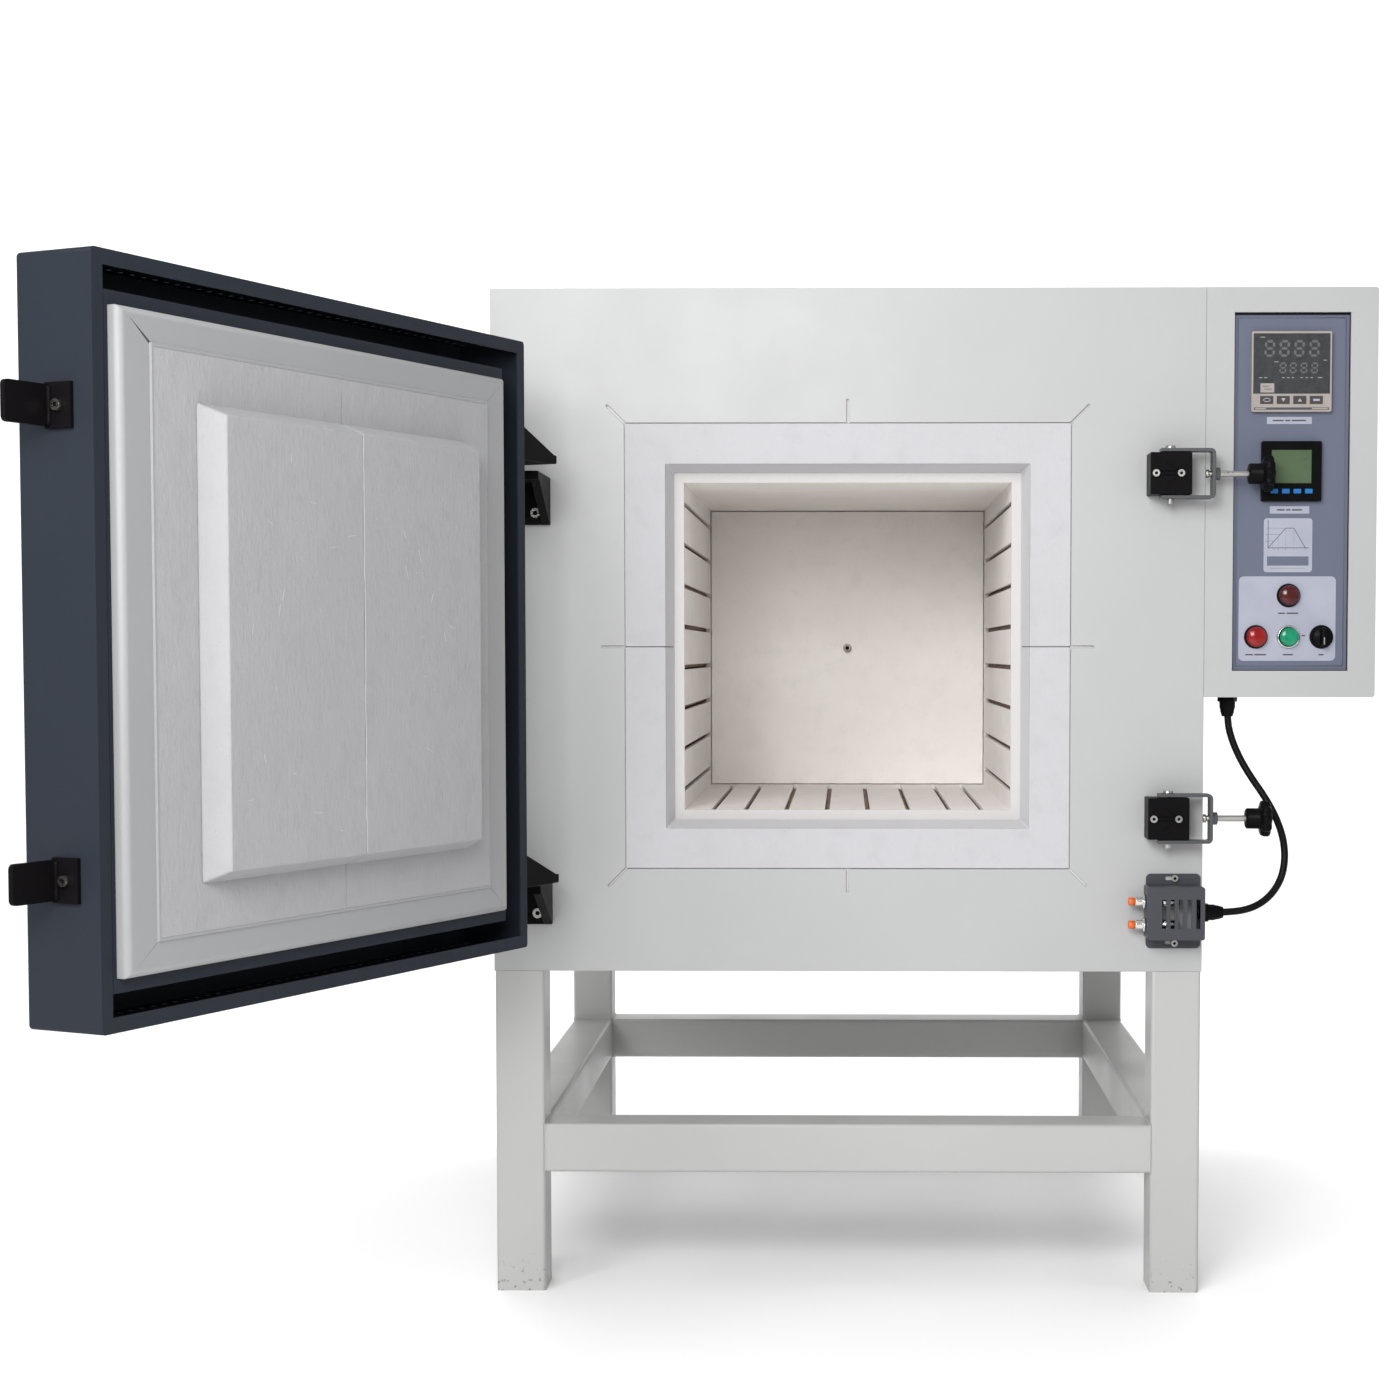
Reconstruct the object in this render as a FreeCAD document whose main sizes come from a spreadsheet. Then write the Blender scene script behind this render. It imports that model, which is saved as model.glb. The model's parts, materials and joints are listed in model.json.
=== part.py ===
import FreeCAD, Part
import math
import os
import Sketcher
from FreeCAD import Placement, Rotation, Vector

# Front-loading electric kiln on a stand, door open.  Millimetres.
# Origin: centre of the chamber mouth, in the plane of the casing's front.
# +X towards the control box, +Y into the kiln, +Z up.

DRIVING_SIZES = {
    # case and stand
    "sheet": 2, "body_half": 431, "body_top": 431, "body_low": -395, "body_depth": 885,
    "case_round": 4, "floor_level": -790, "leg_half": 430, "tube_side": 60, "tube_wall": 3,
    "tube_round": 4, "rail_low": -643, "plate_opening": 270, "slit_wide": 2.5, "slit_long": 28,
    "rear_bay": 800, "cover_half": 230, "cover_depth": 60, "bay_opening": 200,
    # lining
    "collar_half": 269, "mouth_half": 220.5, "throat_half": 211.5, "collar_depth": 32,
    "chamber_half": 200, "chamber_rear": 597, "board_thick": 69, "groove_pitch": 50,
    "groove_mouth": 6, "groove_bore": 7.5, "groove_inset": 11, "groove_front": 40,
    "rebate_wide": 1.3, "rebate_deep": 5, "coil_radius": 5.5, "link_radius": 1.5,
    "tail_radius": 2.5, "sheath_radius": 5,
    # control box
    "box_right": 637, "box_low": -61, "box_depth": 320, "box_sheet": 1.5,
    "window_left": 464.5, "window_right": 604, "window_low": -29, "window_top": 401,
    "panel_inset": 6, "panel_sheet": 2, "panel_lap": 6, "label_sheet": 0.4,
    "device_x": 533, "controller_z": 330, "controller_side": 96, "meter_x": 534, "meter_z": 211,
    "meter_side": 72, "bezel_proud": 7.5, "key_gap": 0.25,
    "alarm_z": 62, "switch_z": 12, "lamp_x": 494, "selector_x": 573, "device_hole": 11,
    "bezel_radius": 15,
    # latches
    "latch_z": 206, "pivot_x": 385, "pivot_y": -26, "block_left": 360, "block_right": 409.5,
    "block_tall": 50, "block_front": -38, "strap_thick": 4, "strap_wide": 20, "strap_gap": 1,
    "strap_bend": 6,
    "base_reach": 53, "screw_radius": 3.95, "nut_radius": 7.6, "nut_long": 6, "tip_reach": 45.5,
    "knob_start": 93, "knob_collar": 12.5, "knob_radius": 22.5, "collar_long": 17, "star_long": 13,
    # lock switch and its cable
    "flange_left": 362.5, "flange_right": 428.7, "flange_low": -366, "flange_top": -275,
    "cover_left": 360, "cover_right": 429, "cover_low": -352, "cover_top": -288, "cover_front": -38,
    "switch_head": 4, "slot_long": 9, "switch_screw_x": 397, "switch_screw_high": -280.5,
    "switch_screw_low": -359.5,
    "sensor_high": -307, "sensor_low": -335, "sensor_y": -20, "sensor_tip": 339,
    "cable_radius": 4.5, "mains_x": 340, "mains_z": -340, "mains_bore": 9, "gland_x": 465,
    "gland_y": 35, "switch_gland_z": -320,
    # door
    "door_left": -357.6, "door_right": 334, "door_half": 340.5, "door_inner": -19,
    "door_outer": -104.5, "door_sheet": 2, "door_lip": 14, "hinge_x": -418.7, "hinge_y": -107.8,
    "door_open": 114.3, "vent_pitch": 15.5, "vent_deep": 70, "vent_radius": 3,
    "tray_left": 57, "tray_right": 671, "tray_half": 293, "tray_proud": 12, "tray_round": 7,
    "hem_proud": 1.8, "hem_wide": 3, "frame_margin": 13, "frame_free_margin": 5,
    "board_inset_x": 41, "board_inset_z": 32, "board_proud": 1.6, "seam_gap": 0.6,
    "plug_base": 217.4, "plug_front": 206.3, "plug_proud": 26, "hook_reach": 56,
    "hook_front": -69.6, "hook_screw_y": -54,
    # hinges
    "hinge_low": 147, "hinge_high": 204, "hinge_spacing": 484, "pin_radius": 8, "pin_gap": 0.05,
    "washer_thick": 6, "ear_low": 210, "ear_high": 220, "gusset_high": 250, "ear_tip": 15,
    "bracket_right": -359, "hinge_screw_x": -376, "hinge_screw_up": 14,
}


class Size:
    """A length that holds both its value and its expression on the sheet."""

    def __init__(self, value, text=None):
        self.value = float(value)
        self.text = text or f"{value:.6g}"

    def _joined(self, sign, other, value):
        return Size(value, f"({self.text} {sign} {other.text})")

    def __add__(self, other):
        other = as_size(other)
        return self._joined("+", other, self.value + other.value)

    def __sub__(self, other):
        other = as_size(other)
        return self._joined("-", other, self.value - other.value)

    def __mul__(self, other):
        other = as_size(other)
        return self._joined("*", other, self.value * other.value)

    def __truediv__(self, other):
        other = as_size(other)
        return self._joined("/", other, self.value / other.value)

    def __neg__(self):
        return Size(-self.value, f"(-{self.text})")

    def __radd__(self, other):
        return as_size(other) + self

    def __rsub__(self, other):
        return as_size(other) - self

    def __rmul__(self, other):
        return as_size(other) * self


def as_size(number):
    return number if isinstance(number, Size) else Size(number)


doc = FreeCAD.newDocument("kiln")
sheet = doc.addObject("Spreadsheet::Sheet", "Dims")
for row, (alias, number) in enumerate(DRIVING_SIZES.items(), 1):
    sheet.set(f"A{row}", f"{number}")
    sheet.setAlias(f"A{row}", alias)
doc.recompute()


class Sheet:
    """The sheet's sizes, read as attributes."""

    def __getattr__(self, alias):
        return Size(DRIVING_SIZES[alias], f"Dims.{alias}")


d = Sheet()
ALONG = {"x": Rotation(Vector(0, 1, 0), 90), "y": Rotation(Vector(1, 0, 0), -90), "z": Rotation()}
UNIT = {"x": Vector(1, 0, 0), "y": Vector(0, 1, 0), "z": Vector(0, 0, 1)}
SIDES = (-1, 1)
pieces = []


# ---------------------------------------------------------------- building blocks

def bind(thing, prop, size):
    thing.setExpression(prop, as_size(size).text)


def move(thing, spots, prop="Placement"):
    """Bind an object's position to the sheet."""
    for letter, spot in zip("xyz", spots):
        bind(thing, f"{prop}.Base.{letter}", spot)


def box(x, y, z):
    """A box between a low and a high place on each axis."""
    solid = doc.addObject("Part::Box", "Box")
    for prop, (low, high) in zip(("Length", "Width", "Height"), (x, y, z)):
        bind(solid, prop, high - as_size(low))
    move(solid, [span[0] for span in (x, y, z)])
    return solid


def axis_spot(axis, across, start):
    """Three coordinates from the two across an axis, in X, Y, Z order, and the one along it."""
    spots = list(across)
    spots.insert("xyz".index(axis), start)
    return spots


def rod(axis, across, span, radius):
    """A cylinder along an axis."""
    low, high = (as_size(place) for place in span)
    solid = doc.addObject("Part::Cylinder", "Rod")
    solid.Placement = Placement(Vector(), ALONG[axis])
    bind(solid, "Radius", radius)
    bind(solid, "Height", high - low)
    move(solid, axis_spot(axis, across, low))
    return solid


def fuse(*solids):
    joined = doc.addObject("Part::MultiFuse", "Fuse")
    joined.Shapes = list(solids)
    joined.Refine = True
    return joined


def group(*solids):
    """Separate solids held together as one sub-part."""
    held = doc.addObject("Part::Compound", "Group")
    held.Links = list(solids)
    return held


def cut(base, *tools):
    rest = doc.addObject("Part::Cut", "Cut")
    rest.Base = base
    rest.Tool = tools[0] if len(tools) == 1 else group(*tools)
    return rest


def straight_edges(shape, axes, keep):
    """Numbers of the straight edges that run along any of the axes and whose middle is kept."""
    return [number for number, edge in enumerate(shape.Edges, 1)
            if isinstance(edge.Curve, Part.Line)
            and any(abs(edge.Curve.Direction.dot(UNIT[axis])) > 0.999 for axis in axes)
            and keep(edge.CenterOfMass)]


def rounded(solid, axes, radius, keep=lambda middle: True):
    """Fillet the straight edges along the axes."""
    doc.recompute()
    soft = doc.addObject("Part::Fillet", "Fillet")
    soft.Base = solid
    size = as_size(radius).value
    soft.Edges = [(number, size, size) for number in straight_edges(solid.Shape, axes, keep)]
    return soft


def placed(thing, placement):
    thing.Placement = placement
    return thing


def shifted(solid, spots):
    copy = group(solid)
    move(copy, spots)
    return copy


PLANES = {"XY": "XY_Plane", "XZ": "XZ_Plane", "YZ": "YZ_Plane"}


def sketch_on(body, plane, offset=(0, 0, 0)):
    """An empty sketch on one of a body's own origin planes."""
    sketch = body.newObject("Sketcher::SketchObject", "Sketch")
    support = [item for item in body.Origin.OriginFeatures if item.Role == PLANES[plane]][0]
    sketch.AttachmentSupport = [(support, "")]
    sketch.MapMode = "FlatFace"
    move(sketch, offset, "AttachmentOffset")
    return sketch


def outline(sketch, corners):
    """A closed outline whose corners are bound to the sheet."""
    corners = [tuple(as_size(place) for place in corner) for corner in corners]
    spots = [Vector(along.value, up.value, 0) for along, up in corners]
    first = sketch.GeometryCount
    count = len(spots)
    for index, spot in enumerate(spots):
        sketch.addGeometry(Part.LineSegment(spot, spots[(index + 1) % count]), False)
    for index in range(count):
        following = first + (index + 1) % count
        sketch.addConstraint(Sketcher.Constraint("Coincident", first + index, 2, following, 1))
    for index, corner in enumerate(corners):
        for kind, place in zip(("DistanceX", "DistanceY"), corner):
            rule = sketch.addConstraint(
                Sketcher.Constraint(kind, -1, 1, first + index, 1, place.value))
            bind(sketch, f"Constraints[{rule}]", place)


def padded(plane, span, *outlines):
    """A PartDesign pad of one outline, with any further outlines as holes through it."""
    low, high = (as_size(place) for place in span)
    body = doc.addObject("PartDesign::Body", "Body")
    flipped = plane == "XZ"
    sketch = sketch_on(body, plane, (0, 0, -low if flipped else low))
    for corners in outlines:
        outline(sketch, corners)
    pad = body.newObject("PartDesign::Pad", "Pad")
    pad.Profile = sketch
    pad.Reversed = flipped
    bind(pad, "Length", high - low)
    return body


def turned(axis, across, profile):
    """A PartDesign revolution of (along, radius) corners about an axis."""
    body = doc.addObject("PartDesign::Body", "Body")
    first, second = across
    if axis == "x":
        sketch, line = sketch_on(body, "XZ", (0, second, -as_size(first))), "H_Axis"
    elif axis == "y":
        sketch, line = sketch_on(body, "YZ", (0, second, first)), "H_Axis"
    else:
        sketch, line = sketch_on(body, "XZ", (first, 0, -as_size(second))), "V_Axis"
    outline(sketch, profile if axis != "z" else [(radius, along) for along, radius in profile])
    spin = body.newObject("PartDesign::Revolution", "Revolution")
    spin.Profile = sketch
    spin.ReferenceAxis = (sketch, [line])
    spin.Angle = 360
    return body


def keep_piece(label, solid):
    """Name a finished sub-part."""
    solid.Label = label
    pieces.append(solid)
    return solid


SHANK_SHARE = 0.6
SCREW_GAP = 0.05


def screw_hole(axis, across, span, head_radius):
    """The clearance hole of a socket screw, by the radius of its head."""
    return rod(axis, across, span, as_size(head_radius) * SHANK_SHARE + SCREW_GAP)


def socket_screw(axis, across, head_span, radius, shank_end):
    """A socket-head screw: a round head with a hexagon socket, and its shank."""
    start, end = (as_size(place) for place in head_span)
    forward = 1 if end.value > start.value else -1
    low, high = (start, end) if forward > 0 else (end, start)
    head = rod(axis, across, (low, high), radius)
    tip = as_size(shank_end)
    shank_low, shank_high = (tip, low) if forward > 0 else (high, tip)
    shank = rod(axis, across, (shank_low, shank_high), as_size(radius) * SHANK_SHARE)
    socket = doc.addObject("Part::Prism", "Hexagon")
    socket.Placement = Placement(Vector(), ALONG[axis])
    bind(socket, "Circumradius", as_size(radius) * 0.5)
    bind(socket, "Height", as_size(radius) * 0.5)
    deep = as_size(radius) * 0.5
    move(socket, axis_spot(axis, across, high - deep if forward > 0 else low))
    return cut(fuse(head, shank), socket)


# ---------------------------------------------------------------- stand

def square_tube(axis, x, y, z):
    """A square tube between three spans, open at its two ends along the axis."""
    spans = [tuple(as_size(place) for place in span) for span in (x, y, z)]
    inner = [span if letter == axis else (span[0] + d.tube_wall, span[1] - d.tube_wall)
             for letter, span in zip("xyz", spans)]
    return cut(rounded(box(*spans), axis, d.tube_round), box(*inner))


def stand_legs():
    """Four square legs, each closed by a foot plate and a top plate welded inside."""
    legs = []
    for side in SIDES:
        outer, inner = side * d.leg_half, side * (d.leg_half - d.tube_side)
        x = (outer, inner) if side < 0 else (inner, outer)
        inside_x = (x[0] + d.tube_wall, x[1] - d.tube_wall)
        for front in (Size(0), d.body_depth - d.tube_side):
            y = (front, front + d.tube_side)
            inside_y = (y[0] + d.tube_wall, y[1] - d.tube_wall)
            tube = square_tube("z", x, y, (d.floor_level, d.body_low))
            foot = box(inside_x, inside_y, (d.floor_level, d.floor_level + d.tube_wall))
            top = box(inside_x, inside_y, (d.body_low - d.tube_wall * 2, d.body_low))
            legs.append(fuse(tube, foot, top))
    keep_piece("stand_legs", group(*legs))


def stand_rails():
    """Four square rails butted between the legs."""
    z = (d.rail_low, d.rail_low + d.tube_side)
    between_legs = d.leg_half - d.tube_side
    rails = []
    for front in (Size(0), d.body_depth - d.tube_side):
        rails.append(square_tube("x", (-between_legs, between_legs), (front, front + d.tube_side), z))
    side_y = (d.tube_side, d.body_depth - d.tube_side)
    rails.append(square_tube("y", (-d.leg_half, -between_legs), side_y, z))
    rails.append(square_tube("y", (between_legs, d.leg_half), side_y, z))
    keep_piece("stand_rails", group(*rails))


# ---------------------------------------------------------------- casing

def casing_wrap():
    """Top and both sides, folded from one sheet."""
    y = (d.sheet, d.body_depth - d.sheet)
    inside = d.body_half - d.sheet
    outer = box((-d.body_half, d.body_half), y, (d.body_low, d.body_top))
    folded = rounded(outer, "y", d.case_round, lambda middle: middle.z > 0)
    hollow = box((-inside, inside), y, (d.body_low, d.body_top - d.sheet))
    keep_piece("casing_wrap", cut(folded, hollow))


CORNER_SHARE = 0.75


def casing_front_plate():
    """Front plate round the collar, with a slit at each corner and mid-side for expansion."""
    plate = box((-d.body_half, d.body_half), (0, d.sheet), (d.body_low, d.body_top))
    opening = box((-d.plate_opening, d.plate_opening), (-1, d.sheet + 1),
                  (-d.plate_opening, d.plate_opening))
    slits = [opening]
    reach = d.plate_opening + d.slit_long
    half = d.slit_wide / 2
    slits.append(box((-reach, reach), (-1, d.sheet + 1), (-half, half)))
    slits.append(box((-half, half), (-1, d.sheet + 1), (-reach, reach)))
    corner_reach = (d.plate_opening + d.slit_long * CORNER_SHARE) * math.sqrt(2)
    for lean in (45, -45):
        slit = box((-corner_reach, corner_reach), (-1, d.sheet + 1), (-half, half))
        slits.append(placed(group(slit), Placement(Vector(), Rotation(Vector(0, 1, 0), lean))))
    keep_piece("casing_front_plate", cut(plate, fuse(*slits)))


def casing_bottom_panel():
    inside = d.body_half - d.sheet
    keep_piece("casing_bottom_panel", box(
        (-inside, inside), (d.sheet, d.body_depth - d.sheet), (d.body_low, d.body_low + d.sheet)))


def casing_back_panel():
    """Back panel with the opening of the terminal bay and the hole of the mains gland."""
    y = (d.body_depth - d.sheet, d.body_depth)
    plate = box((-d.body_half, d.body_half), y, (d.body_low, d.body_top))
    bay = box((-d.bay_opening, d.bay_opening), (y[0] - 1, y[1] + 1), (-d.bay_opening, d.bay_opening))
    mains = rod("y", (d.mains_x, d.mains_z), (y[0] - 1, y[1] + 1), d.mains_bore + 5)
    keep_piece("casing_back_panel", cut(plate, bay, mains))


def rear_terminal_cover():
    """Sheet cover over the terminal bay, with two rows of air slots and a flange."""
    half = d.cover_half
    back = d.body_depth + d.cover_depth
    shell = rounded(box((-half, half), (d.body_depth, back), (-half, half)), "y", d.case_round)
    flange = box((-half - 15, half + 15), (d.body_depth, d.body_depth + d.box_sheet),
                 (-half, half))
    inner = half - d.box_sheet
    slots = [box((-inner, inner), (d.body_depth - 1, back - d.box_sheet), (-inner, inner))]
    for level in (-120, 120):
        for column in range(-5, 6):
            slots.append(box((column * 32 - 4, column * 32 + 4), (back - d.box_sheet, back + 1),
                             (level - 40, level + 40)))
    keep_piece("rear_terminal_cover", cut(fuse(shell, flange), fuse(*slots)))


# ---------------------------------------------------------------- lining

BLANKET_GAP = 1.5


def backing_insulation():
    """Fibre slabs that fill the case round the hot-face boards, short of the front plate."""
    inside = d.body_half - d.sheet
    low, high = d.body_low + d.sheet, d.body_top - d.sheet
    hot = d.chamber_half + d.board_thick
    board_end = d.chamber_rear + d.board_thick
    front = d.sheet + BLANKET_GAP
    rear_slab = box((-hot, hot), (board_end, d.rear_bay), (-hot, hot))
    holes = [rod("y", spot, (board_end - 1, d.rear_bay + 1), d.coil_radius + 0.5)
             for spot in tail_spots()]
    holes.append(rod("y", (0, 0), (board_end - 1, d.rear_bay + 1), d.sheath_radius + 0.5))
    keep_piece("backing_insulation", group(
        box((-inside, inside), (front, d.rear_bay), (hot, high)),
        box((-inside, inside), (front, d.rear_bay), (low, -hot)),
        box((-inside, -hot), (front, d.rear_bay), (-hot, hot)),
        box((hot, inside), (front, d.rear_bay), (-hot, hot)),
        cut(rear_slab, *holes)))


def mouth_collar():
    """Fibre frame round the mouth, in two halves, its opening tapering inwards."""
    taper = (d.mouth_half - d.throat_half) / d.collar_depth
    over = 1
    wide, narrow = d.mouth_half + taper * over, d.throat_half - taper * over
    mouth = doc.addObject("Part::Wedge", "Mouth")
    for prop, size in (("Xmin", -wide), ("Xmax", wide), ("Zmin", -wide), ("Zmax", wide),
                       ("X2min", -narrow), ("X2max", narrow), ("Z2min", -narrow),
                       ("Z2max", narrow), ("Ymin", -over), ("Ymax", d.collar_depth + over)):
        bind(mouth, prop, size)
    halves = []
    seam = d.seam_gap / 2
    for z in ((-d.collar_half, -seam), (seam, d.collar_half)):
        slab = box((-d.collar_half, d.collar_half), (0, d.collar_depth), z)
        halves.append(cut(slab, mouth))
    keep_piece("mouth_collar", group(*halves))


def groove_places(half_count=4):
    """Distances of the grooves from the middle of a wall."""
    return [d.groove_pitch * (step + 0.5) for step in range(-half_count, half_count)]


def floor_groove_places():
    """The outer grooves of the floor stand closer, to clear the side boards' coils."""
    places = groove_places()
    places[0], places[-1] = places[0] + 10, places[-1] - 10
    return places


def tail_spots():
    """(X, Z) of the six coil tails that leave through the rear."""
    deep = d.chamber_half + d.groove_inset
    ends = groove_places()
    floor_ends = floor_groove_places()
    spots = [(side * deep, end) for side in SIDES for end in (ends[0], ends[-1])]
    return spots + [(end, -deep) for end in (floor_ends[0], floor_ends[-1])]


def groove_tools(places, side):
    """Keyhole grooves along Y in a wall at X = side * chamber_half, with their cross channels."""
    deep = side * (d.chamber_half + d.groove_inset)
    face = side * (d.chamber_half - 1)
    x = (face, deep) if side > 0 else (deep, face)
    notch = d.groove_mouth / 2 + 2
    half = d.groove_mouth / 2
    tools = []
    for place in places:
        tools.append(rod("y", (deep, place), (d.groove_front, d.chamber_rear), d.groove_bore))
        tools.append(box(x, (d.groove_front, d.chamber_rear), (place - half, place + half)))
        tools.append(box(x, (d.chamber_rear - 14, d.chamber_rear), (place - notch, place + notch)))
    for y, low, high in link_runs(places):
        tools.append(rod("z", (deep, y), (low, high), d.link_radius + 2))
    board_end = d.chamber_rear + d.board_thick
    for place in (places[0], places[-1]):
        tools.append(rod("y", (deep, place), (d.chamber_rear - 1, board_end + 1), d.tail_radius + 0.5))
    return fuse(*tools)


def link_runs(places):
    """(Y, low, high) of the wire between neighbouring grooves, front and rear in turn."""
    front, rear = d.groove_front + 8, d.chamber_rear - 8
    return [(front if index % 2 == 0 else rear, places[index], places[index + 1])
            for index in range(len(places) - 1)]


def side_wall_boards():
    """Hot-face boards of both side walls, each with eight heater grooves."""
    hot = d.chamber_half + d.board_thick
    y = (d.collar_depth, d.chamber_rear + d.board_thick)
    z = (-d.chamber_half, d.chamber_half)
    left = cut(box((-hot, -d.chamber_half), y, z), groove_tools(groove_places(), -1))
    right = cut(box((d.chamber_half, hot), y, z), groove_tools(groove_places(), 1))
    keep_piece("side_wall_boards", group(left, right))


FLOOR_TURN = Placement(Vector(), Rotation(Vector(0, 1, 0), 90))


def floor_board():
    """Floor board: a wall board turned to lie flat, with eight heater grooves."""
    hot = d.chamber_half + d.board_thick
    y = (d.collar_depth, d.chamber_rear + d.board_thick)
    wall = cut(box((d.chamber_half, hot), y, (-hot, hot)), groove_tools(floor_groove_places(), 1))
    keep_piece("floor_board", placed(group(wall), FLOOR_TURN))


def ceiling_board():
    hot = d.chamber_half + d.board_thick
    keep_piece("ceiling_board", box(
        (-hot, hot), (d.collar_depth, d.chamber_rear + d.board_thick), (d.chamber_half, hot)))


def rear_board():
    """Rear wall board with a rebated edge and the thermocouple hole."""
    end = d.chamber_rear + d.board_thick
    half = d.chamber_half
    board = box((-half, half), (d.chamber_rear, end), (-half, half))
    over, left = half + 1, half - d.rebate_wide
    y = (d.chamber_rear - 1, d.chamber_rear + d.rebate_deep)
    rebate = cut(box((-over, over), y, (-over, over)), box((-left, left), y, (-left, left)))
    hole = rod("y", (0, 0), (d.chamber_rear - 1, end + 1), d.sheath_radius + 0.5)
    keep_piece("rear_board", cut(board, rebate, hole))


def coil_wall(places, side):
    """One circuit: coils in the grooves, wire links between them and two tails."""
    deep = side * (d.chamber_half + d.groove_inset)
    front, rear = d.groove_front + 5, d.chamber_rear - 5
    parts = [rod("y", (deep, place), (front, rear), d.coil_radius) for place in places]
    parts += [rod("z", (deep, y), (low, high), d.link_radius) for y, low, high in link_runs(places)]
    parts += [rod("y", (deep, place), (rear - 1, d.rear_bay + 45), d.tail_radius)
              for place in (places[0], places[-1])]
    return fuse(*parts)


def heating_elements():
    floor_coil = placed(group(coil_wall(floor_groove_places(), 1)), FLOOR_TURN)
    keep_piece("heating_elements", group(
        coil_wall(groove_places(), -1), coil_wall(groove_places(), 1), floor_coil))


def element_terminals():
    """A ceramic bush round each coil tail, and a clamp on its end."""
    board_end = d.chamber_rear + d.board_thick
    bushes = []
    for spot in tail_spots():
        bush = rod("y", spot, (board_end, d.rear_bay + 14), d.coil_radius)
        clamp = rod("y", spot, (d.rear_bay + 22, d.rear_bay + 40), d.coil_radius + 3)
        bore = rod("y", spot, (board_end - 1, d.rear_bay + 50), d.tail_radius + 0.1)
        bushes += [cut(bush, bore), cut(clamp, bore)]
    keep_piece("element_terminals", group(*bushes))


def thermocouple():
    """Ceramic sheath through the rear wall, with its connection head in the terminal bay."""
    radius = d.sheath_radius
    head = d.rear_bay + 10
    keep_piece("thermocouple", turned("y", (0, 0), [
        (d.chamber_rear - 14, 0), (d.chamber_rear - 14, radius - 1), (d.chamber_rear - 12, radius),
        (head, radius), (head, 18), (head + 4, 22), (head + 30, 22), (head + 34, 18),
        (head + 34, 0)]))


# ---------------------------------------------------------------- control box

def control_box_shell():
    """Box with a framed window in its front for the recessed panel."""
    wall = d.box_sheet
    outer = rounded(box((d.body_half, d.box_right), (0, d.box_depth), (d.box_low, d.body_top)),
                    "y", d.case_round, lambda middle: middle.x > d.body_half.value + 1)
    hollow = box((d.body_half + wall, d.box_right - wall), (wall, d.box_depth - wall),
                 (d.box_low + wall, d.body_top - wall))
    lips = box((d.window_left - wall, d.window_right + wall), (wall, d.panel_inset),
               (d.window_low - wall, d.window_top + wall))
    window = box((d.window_left, d.window_right), (-1, d.panel_inset + 1),
                 (d.window_low, d.window_top))
    gland = rod("z", (d.gland_x, d.gland_y), (d.box_low - 1, d.box_low + wall + 1), 8.1)
    keep_piece("control_box_shell", cut(fuse(cut(outer, hollow), lips), window, gland))


def device_spots():
    """(X, Z) of the alarm, the lamp, the start button and the selector."""
    return [(d.device_x, d.alarm_z), (d.lamp_x, d.switch_z), (d.device_x, d.switch_z),
            (d.selector_x, d.switch_z)]


def centred(middle, size):
    return (middle - as_size(size) / 2, middle + as_size(size) / 2)


def control_panel_plate():
    """Recessed panel with the cut-outs of its instruments and switches."""
    y = (d.panel_inset, d.panel_inset + d.panel_sheet)
    lap = d.panel_lap
    plate = box((d.window_left - lap, d.window_right + lap), y,
                (d.window_low - lap, d.window_top + lap))
    through = (y[0] - 1, y[1] + 1)
    holes = [box(centred(d.device_x, d.controller_side - 4), through,
                 centred(d.controller_z, d.controller_side - 4)),
             box(centred(d.meter_x, d.meter_side - 4), through,
                 centred(d.meter_z, d.meter_side - 4))]
    holes += [rod("y", spot, through, d.device_hole) for spot in device_spots()]
    keep_piece("control_panel_plate", cut(plate, *holes))


def panel_labels():
    """Two strips, a graph card and the switch card, stuck on the panel."""
    y = (d.panel_inset - d.label_sheet, d.panel_inset)

    def card(x, z, corner):
        return rounded(box(x, y, z), "y", corner)

    switch_card = card((473, 590), (-17, 85), 6)
    holes = [rod("y", spot, (y[0] - 1, y[1] + 1), d.device_hole + 0.3) for spot in device_spots()]
    keep_piece("panel_labels", group(
        card((505, 559), (268, 276.5), 0.5), card((509.5, 557), (160.5, 169.5), 0.5),
        card((502.5, 561), (90, 155), 4), cut(switch_card, *holes)))


def key_places(middle, pitch):
    return [middle + pitch * (step - 1.5) for step in range(4)]


CONTROLLER_KEYS = {"pitch": 19.8, "drop": 34, "wide": 15, "tall": 9}
METER_KEYS = {"pitch": 13.8, "drop": 24, "wide": 9, "tall": 5.5}


def instrument(x, z, side, window, keys, label):
    """A panel instrument: bezel with a window seat and four key wells, and its rear body."""
    front = d.panel_inset - d.bezel_proud
    bezel = rounded(box(centred(x, side), (front, d.panel_inset), centred(z, side)), "y", 2)
    rear = box(centred(x, side - 5), (d.panel_inset, d.panel_inset + 80), centred(z, side - 5))
    wide, tall, rise = window
    seat = box(centred(x, wide), (front - 1, front + 2), centred(z + rise, tall))
    wells = [seat]
    gap = d.key_gap * 2
    for place in key_places(x, keys["pitch"]):
        wells.append(box(centred(place, keys["wide"] + gap), (front - 1, front + 6),
                         centred(z - keys["drop"], keys["tall"] + gap)))
    keep_piece(f"{label}_housing", cut(fuse(bezel, rear), *wells))
    keep_piece(f"{label}_window", box(
        centred(x, wide), (front + 0.5, front + 2), centred(z + rise, tall)))
    for number, place in enumerate(key_places(x, keys["pitch"]), 1):
        keep_piece(f"{label}_key_{number}", rounded(box(
            centred(place, keys["wide"]), (front - 0.8, front + 5),
            centred(z - keys["drop"], keys["tall"])), "y", 1))


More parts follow.
